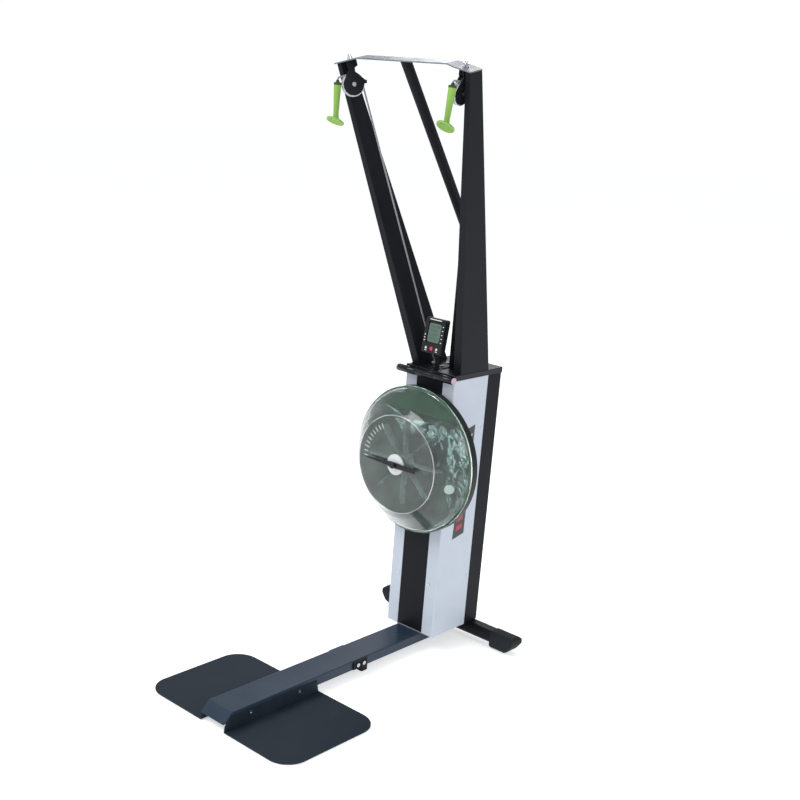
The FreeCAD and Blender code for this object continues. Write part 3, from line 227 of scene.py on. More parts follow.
def finish(name, colour, rough, metal=0.0, grain=350.0, bump=0.08, drift=0.12, patch=9.0,
           stretch=(1, 1, 1), coat=0.0, shine=0.5, depth=0.0006):
    """Colour and gloss drift with a broad noise, and a fine noise lifts the surface. grain and patch
    are the scales of the fine noise and the broad one, and stretch makes the fine one long in one
    direction, as on brushed metal. drift is how far the colour strays either way, shine is how
    strongly the surface mirrors, and bump and depth are the strength and height of the relief."""
    material = bpy.data.materials.new(name)
    material.use_nodes = True
    tree = material.node_tree
    shader = tree.nodes["Principled BSDF"]
    shader.inputs["Metallic"].default_value = metal
    shader.inputs["Specular IOR Level"].default_value = shine
    shader.inputs["Coat Weight"].default_value = coat
    shader.inputs["Coat Roughness"].default_value = COAT_ROUGHNESS
    place = tree.nodes.new("ShaderNodeTexCoord")
    long_way = tree.nodes.new("ShaderNodeMapping")
    long_way.inputs["Scale"].default_value = stretch
    broad = tree.nodes.new("ShaderNodeTexNoise")
    broad.inputs["Scale"].default_value = patch
    broad.inputs["Detail"].default_value = 4
    fine = tree.nodes.new("ShaderNodeTexNoise")
    fine.inputs["Scale"].default_value = grain
    fine.inputs["Detail"].default_value = 3
    shades = tree.nodes.new("ShaderNodeValToRGB")
    dark = [max(0.0, value * (1 - drift)) for value in colour]
    light = [min(1.0, value * (1 + drift)) for value in colour]
    shades.color_ramp.elements[0].color = (*dark, 1)
    shades.color_ramp.elements[1].color = (*light, 1)
    shades.color_ramp.elements[0].position = NOISE_LOW
    shades.color_ramp.elements[1].position = NOISE_HIGH
    gloss = tree.nodes.new("ShaderNodeMapRange")
    gloss.inputs["From Min"].default_value = NOISE_LOW
    gloss.inputs["From Max"].default_value = NOISE_HIGH
    gloss.inputs["To Min"].default_value = rough * (1 - GLOSS_DRIFT)
    gloss.inputs["To Max"].default_value = min(1.0, rough * (1 + GLOSS_DRIFT))
    relief = tree.nodes.new("ShaderNodeBump")
    relief.inputs["Strength"].default_value = bump
    relief.inputs["Distance"].default_value = depth
    link = tree.links.new
    link(place.outputs["Object"], long_way.inputs["Vector"])
    link(place.outputs["Object"], broad.inputs["Vector"])
    link(long_way.outputs["Vector"], fine.inputs["Vector"])
    link(broad.outputs["Fac"], shades.inputs["Fac"])
    link(shades.outputs["Color"], shader.inputs["Base Color"])
    link(broad.outputs["Fac"], gloss.inputs["Value"])
    link(gloss.outputs["Result"], shader.inputs["Roughness"])
    link(fine.outputs["Fac"], relief.inputs["Height"])
    link(relief.outputs["Normal"], shader.inputs["Normal"])
    return material


def dress(piece, material):
    """Puts one finish on every slot of a piece."""
    if not piece.data.materials:
        piece.data.materials.append(material)
    for slot in piece.material_slots:
        slot.material = material


print("recipe ready")

# %% [markdown]
# The frame's steel is coated nearly black, with a bluer, glossier coat on the beam and a matt one on
# the foot plates. The folded side panels are a cool white. The crossplate on top is brushed sheet,
# and the bolts are bright plated steel. A coat is a thin plastic skin, so it is given no metal of
# its own; only bare or plated steel mirrors as metal does.

# %% The metal finishes
dark_coat = finish("dark powder coat", (0.007, 0.008, 0.011), 0.44, grain=420, bump=0.10, drift=0.15,
                   shine=0.10)
beam_coat = finish("satin beam coat", (0.022, 0.036, 0.060), 0.30, grain=420, bump=0.08, drift=0.12,
                   shine=0.20)
plate_coat = finish("foot plate coat", (0.014, 0.021, 0.031), 0.62, grain=600, bump=0.25, drift=0.15,
                    shine=0.15)
white_coat = finish("white powder coat", (0.47, 0.515, 0.59), 0.42, grain=420, bump=0.06, drift=0.03,
                    shine=0.3)
plated = finish("bright plated steel", (0.62, 0.63, 0.65), 0.22, metal=1.0, grain=240, bump=0.04,
                drift=0.06)
pin_steel = finish("hinge pin head", (0.50, 0.35, 0.40), 0.30, metal=0.6, grain=240, bump=0.04,
                   drift=0.08)
brushed = finish("brushed crossplate", (0.15, 0.162, 0.185), 0.42, metal=0.5, grain=90, bump=0.12,
                 drift=0.06, stretch=(0.5, 16, 16))
gloss_coat = finish("glossy head plate", (0.006, 0.008, 0.012), 0.22, grain=300, bump=0.03,
                    drift=0.15, shine=0.25)
dull_steel = finish("dull zinc", (0.20, 0.21, 0.22), 0.35, metal=0.8, grain=240, bump=0.05, drift=0.12)
print("metal finishes:", len(bpy.data.materials))

# %% [markdown]
# Moulded plastics and rubbers come next. Rubber is dull and grainy, nylon is smooth and a little
# waxy, and hard plastic has a moderate gloss. The display's window is as dark as its case, so it is
# an opaque glossy plastic here and needs no light let through.

# %% The moulded finishes
black_rubber = finish("black rubber", (0.010, 0.013, 0.017), 0.72, grain=500, bump=0.20, drift=0.18,
                      shine=0.2)
tank_black = finish("moulded tank back", (0.006, 0.008, 0.009), 0.36, grain=260, bump=0.06, drift=0.15,
                    shine=0.25)
seal_green = finish("green seal", (0.008, 0.13, 0.045), 0.40, grain=300, bump=0.10, drift=0.20,
                    shine=0.3)
white_nylon = finish("white nylon", (0.58, 0.60, 0.62), 0.38, grain=300, bump=0.06, drift=0.04)
cap_nylon = finish("filler cap", (0.32, 0.41, 0.38), 0.40, grain=300, bump=0.06, drift=0.08)
grip_green = finish("soft green grip", (0.20, 0.37, 0.065), 0.58, grain=700, bump=0.22, drift=0.10,
                    shine=0.3)
grip_rim = finish("pale green rim", (0.32, 0.48, 0.14), 0.55, grain=700, bump=0.20, drift=0.08,
                  shine=0.3)
grip_dark = finish("dark grip collar", (0.03, 0.045, 0.015), 0.50, grain=500, bump=0.15, drift=0.15,
                   shine=0.3)
black_plastic = finish("black moulding", (0.010, 0.011, 0.013), 0.34, grain=380, bump=0.08, drift=0.14,
                       shine=0.25)
blade_grey = finish("paddle blades", (0.42, 0.44, 0.42), 0.40, grain=200, bump=0.05, drift=0.10)
key_red = finish("red key", (0.50, 0.02, 0.05), 0.26, grain=300, bump=0.04, drift=0.08)
key_white = finish("pale key", (0.62, 0.55, 0.58), 0.28, grain=300, bump=0.04, drift=0.05)
window_dark = finish("dark display window", (0.008, 0.009, 0.010), 0.12, grain=300, bump=0.02,
                     drift=0.15, shine=0.35)
print("finishes so far:", len(bpy.data.materials))

# %% [markdown]
# The tank's front is clear plastic, slightly tinted and never quite clean, and the water behind it
# bends the light again. Glass in Blender is one shader with its transmission turned up. Its tint
# and haze come from noise, so the dome shows faint mottling where the water splashes against it.

# %% Clear finishes
DOME_BENDING, WATER_BENDING = 1.30, 1.20


def clear(name, tint, haze, through, bending, **others):
    """Light goes through the surface; a broad noise varies its tint and its haze a little.
    through is the share that goes through, and bending is the index of refraction."""
    material = finish(name, tint, haze, **others)
    shader = material.node_tree.nodes["Principled BSDF"]
    shader.inputs["Transmission Weight"].default_value = through
    shader.inputs["IOR"].default_value = bending
    return material


dome_clear = clear("clear tank dome", (0.88, 0.94, 0.93), 0.04, 0.97, DOME_BENDING, grain=40,
                   bump=0.05, patch=7, drift=0.10)
# The water's strong colour drift is partly painted reflection: light and dark patches in its tint.
water_clear = clear("stirred water with painted reflections", (0.34, 0.50, 0.46), 0.10, 0.96, WATER_BENDING, grain=22,
                    bump=0.7, patch=14, drift=0.60, depth=0.012)
print("clear finishes: refraction", DOME_BENDING, "for the dome and", WATER_BENDING, "for the water")

# %% [markdown]
# Each part of the frame gets one finish. The table reads like the machine's own parts list, so it is
# easy to see what is steel, rubber or nylon, and to change one part's finish without touching its
# neighbours.

# %% Put finishes on the frame parts
FINISHES = {
    "front_beam": beam_coat, "rear_beam": beam_coat, "beam_sleeve": dark_coat,
    "splice_plates": dark_coat, "beam_pad": black_rubber, "foot_plate_left": plate_coat,
    "foot_plate_right": plate_coat, "plate_feet": black_rubber, "rear_stabiliser": dark_coat,
    "stabiliser_caps": black_rubber, "front_post": dark_coat, "rear_post": dark_coat,
    "side_panel_left": white_coat, "side_panel_right": white_coat, "panel_screws": plated,
    "hinge_leaf": gloss_coat, "hinge_pin": pin_steel, "tank_back": tank_black,
    "tank_seal": seal_green, "tank_front": dome_clear, "frame_bolts": plated,
    "dial_hub": white_nylon, "bearing_housing": plated, "shaft_bearings": plated,
    "bearing_plate": dark_coat, "recoil_cords": black_rubber, "recoil_anchor": dark_coat,
    "top_plate": gloss_coat, "cord_guides": white_nylon, "fold_lock_screw": black_plastic,
    "arm_left": dark_coat, "arm_right": dark_coat, "rear_mast": dark_coat, "crossplate": brushed,
    "head_bolts": plated, "console_bracket": dark_coat, "console_pivot": black_plastic,
    "left_yoke": dark_coat, "right_yoke": dark_coat, "left_axle": dull_steel, "right_axle": dull_steel,
    "left_wheel": white_nylon, "right_wheel": white_nylon, "left_spool": white_nylon,
    "right_spool": white_nylon, "impeller": blade_grey, "impeller_shaft": plated,
    "one_way_bearings": plated, "dial_lever": black_plastic, "filler_plug": cap_nylon,
    "console_case": black_plastic, "console_lens": window_dark, "console_back": black_plastic,
    "start_button": key_red, "left_key": key_white, "right_key": key_white,
}
for node, material in FINISHES.items():
    dress(nodes[node], material)
print("frame parts dressed:", len(FINISHES), "of", len(nodes))

# %% [markdown]
# The ropes. Each one leaves its grip, goes over its wheel, runs down inside its arm, passes a nylon
# guide in the column's top and winds onto its drum. A rope under pull is straight between the
# things that it touches, so its route is a few tangent lines and arcs, and all of them follow from
# the places of the wheel, the guide and the drum.

# %% Where the ropes run
ROPE_RADIUS = 0.003     # all lengths in metres
TRACK_RADIUS = 0.033    # from the wheel's centre to the middle of the rope on it
DRUM_RADIUS = 0.042     # the same on the drum
DRUM_SHIFT = 0.003      # the drum's track is this far in front of its joint's place
DRUM_TURNS = 2
GUIDE_RADIUS = 0.012
GUIDE_DEPTH = 0.003     # the rope bends this far below the guide's top
GUIDE_BEND = 0.060
GRIP_REACH = {"left": 0.049, "right": 0.044}    # a parked grip's top, in front of the wheel's centre
GRIP_LIFT = {"left": 0.020, "right": 0.0325}    # and above it
GRIP_SWING = {"left": 0.0, "right": math.radians(8)}
KNOT_DEPTH = 0.008      # the rope ends this far inside the grip
GRIP_LEAD = 0.012       # it hangs straight from this far above the grip
LEAD_BEND = 0.006
WHEEL_STEPS, DRUM_STEPS = 24, 64


def unit(way):
    """The same direction with a length of one."""
    return np.array(way, dtype=float) / np.linalg.norm(way)


def block_frame(side):
    """The wheel's centre, and the block's directions back and up; back = up x the wheel's axle."""
    centre = np.array(joints[side + "_wheel_spin"]["pos_m"])
    up = unit(joints[side + "_swivel"]["axis"])
    return centre, np.cross(up, unit(joints[side + "_wheel_spin"]["axis"])), up


def touch(centre, radius, target, turn, across, up):
    """Where a straight rope from the target meets a round track. Seen from the centre, that place
    is turned from the target by the angle whose cosine is radius / distance."""
    flat = np.array([(target - centre) @ across, (target - centre) @ up])
    angle = math.atan2(flat[1], flat[0]) + turn * math.acos(radius / np.linalg.norm(flat))
    return centre + radius * (across * math.cos(angle) + up * math.sin(angle)), angle


def line(start, end, count):
    """Evenly spaced places from start to end."""
    share = np.linspace(0, 1, count)[:, None]
    return start + share * (end - start)


def corner_arc(before, corner, after, radius, count=9):
    """An arc that touches the line into a corner and the line out of it. Its centre lies inside the
    corner, radius / cos(half the turn) away."""
    come, go = unit(corner - before), unit(after - corner)
    half = math.acos(np.clip(come @ go, -1, 1)) / 2
    inward, forward = unit(go - come), unit(come + go)
    middle = corner + inward * radius / math.cos(half)
    swing = np.linspace(-half, half, count)[:, None]
    return middle + radius * (np.sin(swing) * forward - np.cos(swing) * inward)


def grip_turn(side):
    """How a parked grip is turned: its foot swings a little outwards about a level axis."""
    out = -block_frame(side)[1]
    out[2] = 0
    return Matrix.Rotation(GRIP_SWING[side], 3, Vector(np.cross(out, [0, 0, 1])))


def grip_top(side):
    """The top of a parked grip: in front of its wheel and a little above the wheel's centre."""
    centre, back, up = block_frame(side)
    return centre - back * GRIP_REACH[side] + up * GRIP_LIFT[side]


def rope_stations(side):
    """The rope's tangent places and arcs, from the grip down to the drum. On the drum it is a
    screw line: drum + radius * (cos t across + sin t up), moving along the axle as t falls."""
    centre, back, up = block_frame(side)
    low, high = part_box("cord_guides")
    guide_x = (high[0] - low[0]) / 2 - GUIDE_RADIUS
    guide = np.array([math.copysign(guide_x, centre[0]), (low[1] + high[1]) / 2, high[2] - GUIDE_DEPTH])
    drum = np.array(joints[side + "_spool_spin"]["pos_m"]) - [0, DRUM_SHIFT, 0]
    hang = np.array(grip_turn(side).col[2])
    knot, over_grip = grip_top(side) - KNOT_DEPTH * hang, grip_top(side) + GRIP_LEAD * hang
    first, first_angle = touch(centre, TRACK_RADIUS, over_grip, -1, back, up)
    last, last_angle = touch(centre, TRACK_RADIUS, guide, 1, back, up)
    end, end_angle = touch(drum, DRUM_RADIUS, guide, -1, np.array([1.0, 0, 0]), np.array([0, 0, 1.0]))
    angles = np.linspace(first_angle % (2 * math.pi), last_angle, WHEEL_STEPS)[:, None]
    over = centre + TRACK_RADIUS * (back * np.cos(angles) + up * np.sin(angles))
    droop = corner_arc(first, over_grip, knot, LEAD_BEND)
    bend = corner_arc(last, guide, end, GUIDE_BEND)
    turns = end_angle - np.linspace(0, 2 * math.pi * DRUM_TURNS, DRUM_STEPS)[:, None]
    wound = drum + DRUM_RADIUS * (np.cos(turns) * [1, 0, 0] + np.sin(turns) * [0, 0, 1])
    wound = wound + np.linspace(-ROPE_RADIUS, ROPE_RADIUS, DRUM_STEPS)[:, None] * [0, 1, 0]
    return {"knot": knot, "droop": droop, "over": over, "bend": bend, "wound": wound}


for side in SIDES:
    places = rope_stations(side)
    print(side, "rope: knot at", places["knot"].round(3), "guide at", places["bend"][4].round(3))

# %% [markdown]
# Braided rope is eight strands that cross over each other, four leaning each way. Two families of
# slanting bands on the tube give the crossings, and the same bands raise the surface a little. The
# count of bands round the rope is whole, so the pattern meets itself where the tube closes.

# %% Braided rope finish
STRANDS_EACH_WAY = 4
WAVE_PER_UNIT = 10      # a wave texture of scale 1 goes through ten radians in one unit


def braid(name):
    """Two wave patterns that lean opposite ways on the tube's own map; the higher one shows."""
    material = finish(name, (0.2, 0.2, 0.21), 0.8, bump=0.1)
    tree = material.node_tree
    shader = tree.nodes["Principled BSDF"]
    whole_turn = 2 * math.pi * STRANDS_EACH_WAY / WAVE_PER_UNIT
    uv = tree.nodes.new("ShaderNodeUVMap")
    uv.uv_map = "wrap"
    waves = []
    for lean in (-1, 1):
        mapping = tree.nodes.new("ShaderNodeMapping")
        mapping.inputs["Scale"].default_value = (whole_turn, lean * whole_turn * 0.5, 1)
        wave = tree.nodes.new("ShaderNodeTexWave")
        wave.bands_direction = "DIAGONAL"
        wave.inputs["Scale"].default_value = 1.0
        tree.links.new(uv.outputs["UV"], mapping.inputs["Vector"])
        tree.links.new(mapping.outputs["Vector"], wave.inputs["Vector"])
        waves.append(wave)
    higher = tree.nodes.new("ShaderNodeMath")
    higher.operation = "MAXIMUM"
    for slot_number, wave in enumerate(waves):
        tree.links.new(wave.outputs["Fac"], higher.inputs[slot_number])
    shades = tree.nodes.new("ShaderNodeValToRGB")
    shades.color_ramp.elements[0].color = (0.05, 0.05, 0.055, 1)
    shades.color_ramp.elements[1].color = (0.34, 0.35, 0.36, 1)
    relief = tree.nodes.new("ShaderNodeBump")
    relief.inputs["Strength"].default_value = 0.6
    relief.inputs["Distance"].default_value = 0.0004
    tree.links.new(higher.outputs["Value"], shades.inputs["Fac"])
    tree.links.new(shades.outputs["Color"], shader.inputs["Base Color"])
    tree.links.new(higher.outputs["Value"], relief.inputs["Height"])
    tree.links.new(relief.outputs["Normal"], shader.inputs["Normal"])
    return material


rope_braid = braid("braided rope")
for side in SIDES:
    dress(nodes[side + "_cord"], rope_braid)
print("braid:", 2 * STRANDS_EACH_WAY, "strands")

# %% [markdown]
# One rope touches four moving things: its grip, its swivelling block, the head and the column. So it
# is six pieces end to end. Three of them ride whole on the block, the head and the column. The other
# three join two neighbours and are left on no body: above the grip, below the block and across the
# fold hinge. The one above the grip is straight and hangs the way the grip is pulled.

# %% Model both ropes
BLOCK_RUN, FOLD_RUN = 0.08, 0.06
for side in SIDES:
    places = rope_stations(side)
    droop, over, bend = places["droop"], places["over"], places["bend"]
    block_end = over[-1] + BLOCK_RUN * unit(bend[0] - over[-1])
    fold_end = bend[0] + FOLD_RUN * unit(over[-1] - bend[0])
    runs = {
        "pull": line(droop[-1], places["knot"], 40),
        "wheel": np.concatenate([droop[::-1], over]),
        "entry": line(over[-1], block_end, 24),
        "arm": line(block_end, fold_end, 24),
        "fold": line(fold_end, bend[0], 24),
        "drum": np.concatenate([bend, places["wound"]]),
    }
    pieces = {key: tube(f"{side}_rope_{key}", path, ROPE_RADIUS) for key, path in runs.items()}
    for piece in pieces.values():
        dress(piece, rope_braid)
    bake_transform(pieces["pull"])
    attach(pieces["wheel"], side + "_block")
    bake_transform(pieces["entry"])
    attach(pieces["arm"], "head")
    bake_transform(pieces["fold"])
    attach(pieces["drum"], "stand")
    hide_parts(side + "_cord")
    print(side, "rope: six pieces, arm run", round(float(np.linalg.norm(fold_end - block_end)), 3), "m")

# %% [markdown]
# The grips. A pole grip is moulded in soft rubber over a core: a stem that tapers to a waist and
# then a broad foot that the hand rests on. Its foot leans a little forward. The stem and foot are
# both turned shapes, with a paler lip round the foot, a small hanging hole, and a dark collar on
# top, where the rope's knot sits. Each profile below lists (distance from the axis, height).

# %% Model both grips
FOOT_DEPTH = 0.119      # from the grip's top to the middle of its foot
FOOT_TILT = math.radians(-25)
WAIST_LEVELS = [-0.117, -0.110, -0.100, -0.078, -0.040, -0.009, -0.0045]
WAIST_RADII = [0.0125, 0.0094, 0.0087, 0.0095, 0.011, 0.012, 0.0112]
DISH_LINE = [(0.001, -0.0040), (0.012, -0.0045), (0.022, -0.0056), (0.0275, -0.0068),
             (0.029, -0.007), (0.0302, -0.0058), (0.0305, -0.004), (0.0301, -0.0025),
             (0.029, -0.001), (0.022, 0.0014), (0.016, 0.0036), (0.0125, 0.0062), (0.010, 0.0090)]
HOLE_PLACE = (0, -0.022, -0.0066)
HOLE_LINE = [(0.0015, 0), (0.0029, 0), (0.0029, 0.0016), (0.0015, 0.0016)]
COLLAR_LINE = [(0.0118, -0.010), (0.0128, -0.009), (0.0128, -0.0045), (0.0112, -0.0022),
               (0.0060, -0.0010), (0.0048, 0.0050), (0.0036, 0.0058)]


def round_line(distance, height, wide, tall, count=12):
    """A closed oval profile for a ring: distance + wide * cos t, height + tall * sin t."""
    t = np.linspace(0, 2 * np.pi, count, endpoint=False)
    return np.stack([distance + wide * np.cos(t), height + tall * np.sin(t)], axis=1)


def grip(side):
    """Stem, foot, lip, hole and collar about the grip's own axis, which hangs from its top."""
    swing = grip_turn(side)
    tilted = swing @ Matrix.Rotation(FOOT_TILT, 3, "X")
    top = grip_top(side)
    up, foot_up = np.array(swing.col[2]), np.array(tilted.col[2])
    foot = top - FOOT_DEPTH * up
    level = np.linspace(WAIST_LEVELS[0], WAIST_LEVELS[-1], 40)
    waist = np.interp(level, WAIST_LEVELS, WAIST_RADII)
    stem = turned(side + "_grip_stem", np.stack([waist, level], axis=1), top, up)
    pad = turned(side + "_grip_foot", DISH_LINE, foot, foot_up)
    lip_line = round_line(0.0283, -0.0062, 0.0013, 0.0013)
    lip = turned(side + "_grip_lip", lip_line, foot, foot_up, loop=True)
    hole_place = foot + np.array(tilted @ Vector(HOLE_PLACE))
    hole = turned(side + "_grip_hole", HOLE_LINE, hole_place, foot_up, count=24)
    collar = turned(side + "_grip_collar", COLLAR_LINE, top, up)
    pieces = {stem: grip_green, pad: grip_green, lip: grip_rim, hole: grip_dark, collar: grip_dark}
    for piece, material in pieces.items():
        dress(piece, material)
        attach(piece, side + "_grip")
    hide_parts(side + "_handle")
    return len(pieces)


print("grip pieces:", [grip(side) for side in SIDES])

# %% [markdown]
# Inside the tank. The back shell is green within. A thin dish that follows the shell's inner face
# shows that green through the clear front. It is a closed profile turned round the tank's axle, and
# its heights are measured forward from just behind the shell.

# %% The tank's green liner
axle = np.array(joints["impeller_spin"]["pos_m"])
tank_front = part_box("tank_front")[0][1]
back_low, back_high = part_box("tank_back")
TANK_RADIUS = (back_high[0] - back_low[0]) / 2
FORWARD = np.array([0.0, -1.0, 0.0])
SHELL_GAP = 0.002
ROUND_TANK = 160        # points round every piece of the tank
shell_back = np.array([0.0, back_high[1] + SHELL_GAP, axle[2]])
liner_line = [(0.093, 0.0176), (TANK_RADIUS - 0.0303, 0.0176), (TANK_RADIUS - 0.0143, 0.0342),
              (TANK_RADIUS - 0.0142, 0.0498), (TANK_RADIUS - 0.0150, 0.0498),
              (TANK_RADIUS - 0.0155, 0.0346), (TANK_RADIUS - 0.0315, 0.0186), (0.093, 0.0186)]
liner = turned("tank_liner", liner_line, shell_back, FORWARD, count=ROUND_TANK, loop=True)
dress(liner, seal_green)
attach(liner, "stand")
print("tank radius", round(TANK_RADIUS, 3), "liner", round(liner_line[3][1] - liner_line[0][1], 4), "deep")

# %% [markdown]
# The water fills most of the tank. It looks grey-green and mottled: a strong relief bends the light
# through it unevenly, as stirred water does, and its tint drifts far lighter and darker in broad
# patches, a painted reflection. The body of water is a turned shape that fits the tank, and every
# point above the water line is brought down to it, which gives the flat surface on top.

# %% Water in the tank
WATER_LEVEL = 0.165     # above the axle
front_depth = shell_back[1] - tank_front
water_line = [(0.010, 0.0200), (TANK_RADIUS - 0.034, 0.0200), (TANK_RADIUS - 0.018, 0.0360),
              (TANK_RADIUS - 0.018, 0.0660), (TANK_RADIUS - 0.023, 0.0780),
              (TANK_RADIUS - 0.038, 0.0930), (TANK_RADIUS - 0.070, front_depth - 0.0250),
              (TANK_RADIUS - 0.094, front_depth - 0.0060), (0.010, front_depth - 0.0060)]
water = turned("tank_water", water_line, shell_back, FORWARD, count=ROUND_TANK)
wet = np.empty(3 * len(water.data.vertices))
water.data.vertices.foreach_get("co", wet)
wet = wet.reshape(-1, 3)
wet[:, 2] = np.minimum(wet[:, 2], axle[2] + WATER_LEVEL)
water.data.vertices.foreach_set("co", wet.ravel())
dress(water, water_clear)
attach(water, "stand")
print("water", round(front_depth, 3), "m deep from the back, level", round(axle[2] + WATER_LEVEL, 3), "m")

# %% [markdown]
# The tank's front carries a dial for the resistance. Short white marks are printed in a fan on its
# left, from level to well up, and a bright thin bead rings the dial: a painted highlight, plated
# bright where the dome's rounded shoulder shines. The marks are slabs laid along spokes from the
# axle, joined as one piece, and the bead is a ring.

# %% The dial's marks and its painted highlight bead
mark_white = finish("printed white", (0.72, 0.74, 0.74), 0.5, grain=500, bump=0.03, drift=0.05)
MARK_COUNT, MARK_STEP, MARK_REACH = 10, math.radians(6.6), 0.145
MARK_SIZE = (0.018, 0.0024, 0.0004)
marks = []
for step in range(MARK_COUNT):
    turn = math.pi - step * MARK_STEP
    outwards = np.array([math.cos(turn), 0, math.sin(turn)])
    sideways = np.cross(FORWARD, outwards)
    centre = np.array([0, tank_front - MARK_SIZE[2] / 2, axle[2]]) + MARK_REACH * outwards
    marks.append(block(f"dial_mark_{step}", centre, MARK_SIZE, (outwards, sideways, FORWARD)))
dial_marks = joined("dial_marks", marks)
dress(dial_marks, mark_white)
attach(dial_marks, "stand")

# The bead is a painted highlight: a bright plated ring where the dome's rounded shoulder shines.
HIGHLIGHT_BEAD_REACH = 0.1765
highlight_bead_line = round_line(HIGHLIGHT_BEAD_REACH, 0, 0.0013, 0.0012)
bead = turned("dial_bead", highlight_bead_line, [0, tank_front, axle[2]], FORWARD, count=ROUND_TANK, loop=True)
dress(bead, plated)
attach(bead, "stand")
print(len(marks), "marks at", MARK_REACH, "m and a bead at", HIGHLIGHT_BEAD_REACH, "m from the axle")

# %% [markdown]
# The display. Its case leans back on the pivot. The window shows a grey-green liquid crystal panel,
# and everything on it is a thin slab on the front of the window or of the case. The slabs are placed
# in the console's own directions: across, up its face and out of it. The start key presses straight
# in, so its joint gives the way out.

# %% The display's panel
RIGHTWARD = np.array([1.0, 0.0, 0.0])
OUTWARD = -unit(joints["start_press"]["axis"])
UPWARD = np.cross(OUTWARD, RIGHTWARD)


def along_of(node, way):
    """The lowest and highest distance of a frame part's points along one direction."""
    mesh = nodes[node].data
    found = np.empty(3 * len(mesh.vertices))
    mesh.vertices.foreach_get("co", found)
    found = found.reshape(-1, 3) @ way
    return found.min(), found.max()


def on_console(x, height, front, size):
    """A thin block on the console: x across, height up its face, front out of it."""
    centre = x * RIGHTWARD + height * UPWARD + front * OUTWARD
    return block("console_mark", centre, size, (RIGHTWARD, UPWARD, OUTWARD))


window_low, window_high = along_of("console_lens", UPWARD)
window_front = along_of("console_lens", OUTWARD)[1]
case_low, case_high = along_of("console_case", UPWARD)
case_front = along_of("console_case", OUTWARD)[1]
window_middle = (window_low + window_high) / 2
panel = on_console(0, window_middle, window_front + 0.0002, (0.054, 0.066, 0.0004))
panel.name = "display_panel"
lcd_grey = finish("liquid crystal grey-green", (0.075, 0.125, 0.10), 0.25, grain=900, bump=0.02,
                  drift=0.08, patch=30, coat=0.5)
dress(panel, lcd_grey)
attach(panel, "console")
print("window", round(window_high - window_low, 3), "m tall, leaning back",
      round(math.degrees(math.asin(OUTWARD[2])), 1), "degrees")

# %% [markdown]
# Digits on such a panel are made of straight segments. Here each one has three level bars and two
# upright ones, so it reads as a plain 8. Rows of four and of three digits fill the panel, joined as
# one piece.

# %% The display's digits
DIGIT_ROWS = (0.022, 0.008, -0.006, -0.020)     # heights from the window's middle
DIGIT_START, DIGIT_STEP = -0.017, 0.011
BAR_SIZE, POST_SIZE = (0.0042, 0.0009, 0.0002), (0.0009, 0.0072, 0.0002)
digit_front = window_front + 0.0005
digits = []
for row, height in enumerate(DIGIT_ROWS):
    for column in range(4 - row % 2):
        x = DIGIT_START + DIGIT_STEP * column
        for lift in (-0.0036, 0, 0.0036):
            digits.append(on_console(x, window_middle + height + lift, digit_front, BAR_SIZE))
        for shift in (-0.0024, 0.0024):
            digits.append(on_console(x + shift, window_middle + height, digit_front, POST_SIZE))
lcd_dark = finish("liquid crystal digits", (0.035, 0.055, 0.045), 0.3, grain=900, bump=0.02, drift=0.15)
digit_piece = joined("display_digits", digits)
dress(digit_piece, lcd_dark)
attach(digit_piece, "console")
print(len(DIGIT_ROWS), "rows,", len(digits), "segments")

# %% [markdown]
# The case's printing is plain short bars: three on the window's left, five on its right, one long bar
# above it and two at the case's foot. They stand for words, and hold none.

# %% The case's printed marks
TICK_SIDE, TICK_FOOT = 0.037, -0.030    # beside the window's middle, and below it
TICK_SIZE = (0.0045, 0.003, 0.0004)
proud = case_front + TICK_SIZE[2] / 2
tick_places = [(-TICK_SIDE, TICK_FOOT + 0.010 * step) for step in range(3)]
tick_places += [(TICK_SIDE, TICK_FOOT + 0.014 * step) for step in range(5)]
ticks = [on_console(x, window_middle + lift, proud, TICK_SIZE) for x, lift in tick_places]
ticks += [on_console(0, (window_high + case_high) / 2, proud, (0.052, 0.0028, 0.0004))]
ticks += [on_console(x, case_low + 0.0085, proud, (0.010, 0.002, 0.0004)) for x in (-0.024, 0.024)]
tick_piece = joined("console_ticks", ticks)
dress(tick_piece, mark_white)
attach(tick_piece, "console")
print(len(ticks), "printed marks")

# %% [markdown]
# The fold hinge. Its barrel is three knuckles on one pin, and the whole head turns about it. On the
# real machine the knuckles are welded straight to the plate and the post, so only the barrel shows.
# All three stay with the column here, since a turned shape looks the same however far it has turned.

# %% Hinge knuckles
hinge = np.array(joints["fold"]["pos_m"])
leaf_low, leaf_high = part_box("hinge_leaf")
BARREL_RADIUS = hinge[1] - leaf_low[1]
KNUCKLES = 3
KNUCKLE_GAP, KNUCKLE_EDGE = 0.0012, 0.0012
pitch = (leaf_high[0] - leaf_low[0]) / KNUCKLES
knuckles = []
for step in range(KNUCKLES):
    start = leaf_low[0] + step * pitch + KNUCKLE_GAP / 2
    stop = start + pitch - KNUCKLE_GAP
    outline = [(BARREL_RADIUS - KNUCKLE_EDGE, start), (BARREL_RADIUS, start + KNUCKLE_EDGE),
               (BARREL_RADIUS, stop - KNUCKLE_EDGE), (BARREL_RADIUS - KNUCKLE_EDGE, stop)]
    knuckles.append(turned(f"knuckle_{step}", outline, [0, hinge[1], hinge[2]], [1, 0, 0]))
barrel = joined("hinge_barrel", knuckles)
dress(barrel, gloss_coat)
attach(barrel, "stand")
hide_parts("hinge_leaf")
print("barrel radius", round(float(BARREL_RADIUS), 4), "pitch", round(float(pitch), 4))

# %% [markdown]
# A weld bead closes the joint between the column's front post and the beam. Hand welding leaves small
# even ripples, so the bead's radius rises and falls along it.

# %% The weld bead
BEAD_SIDES, RIPPLE_STEPS, RIPPLE_SWELL = 12, 6, 0.12
plated_weld = finish("weld bead", (0.17, 0.18, 0.20), 0.42, metal=0.4, grain=260, bump=0.12, drift=0.25)


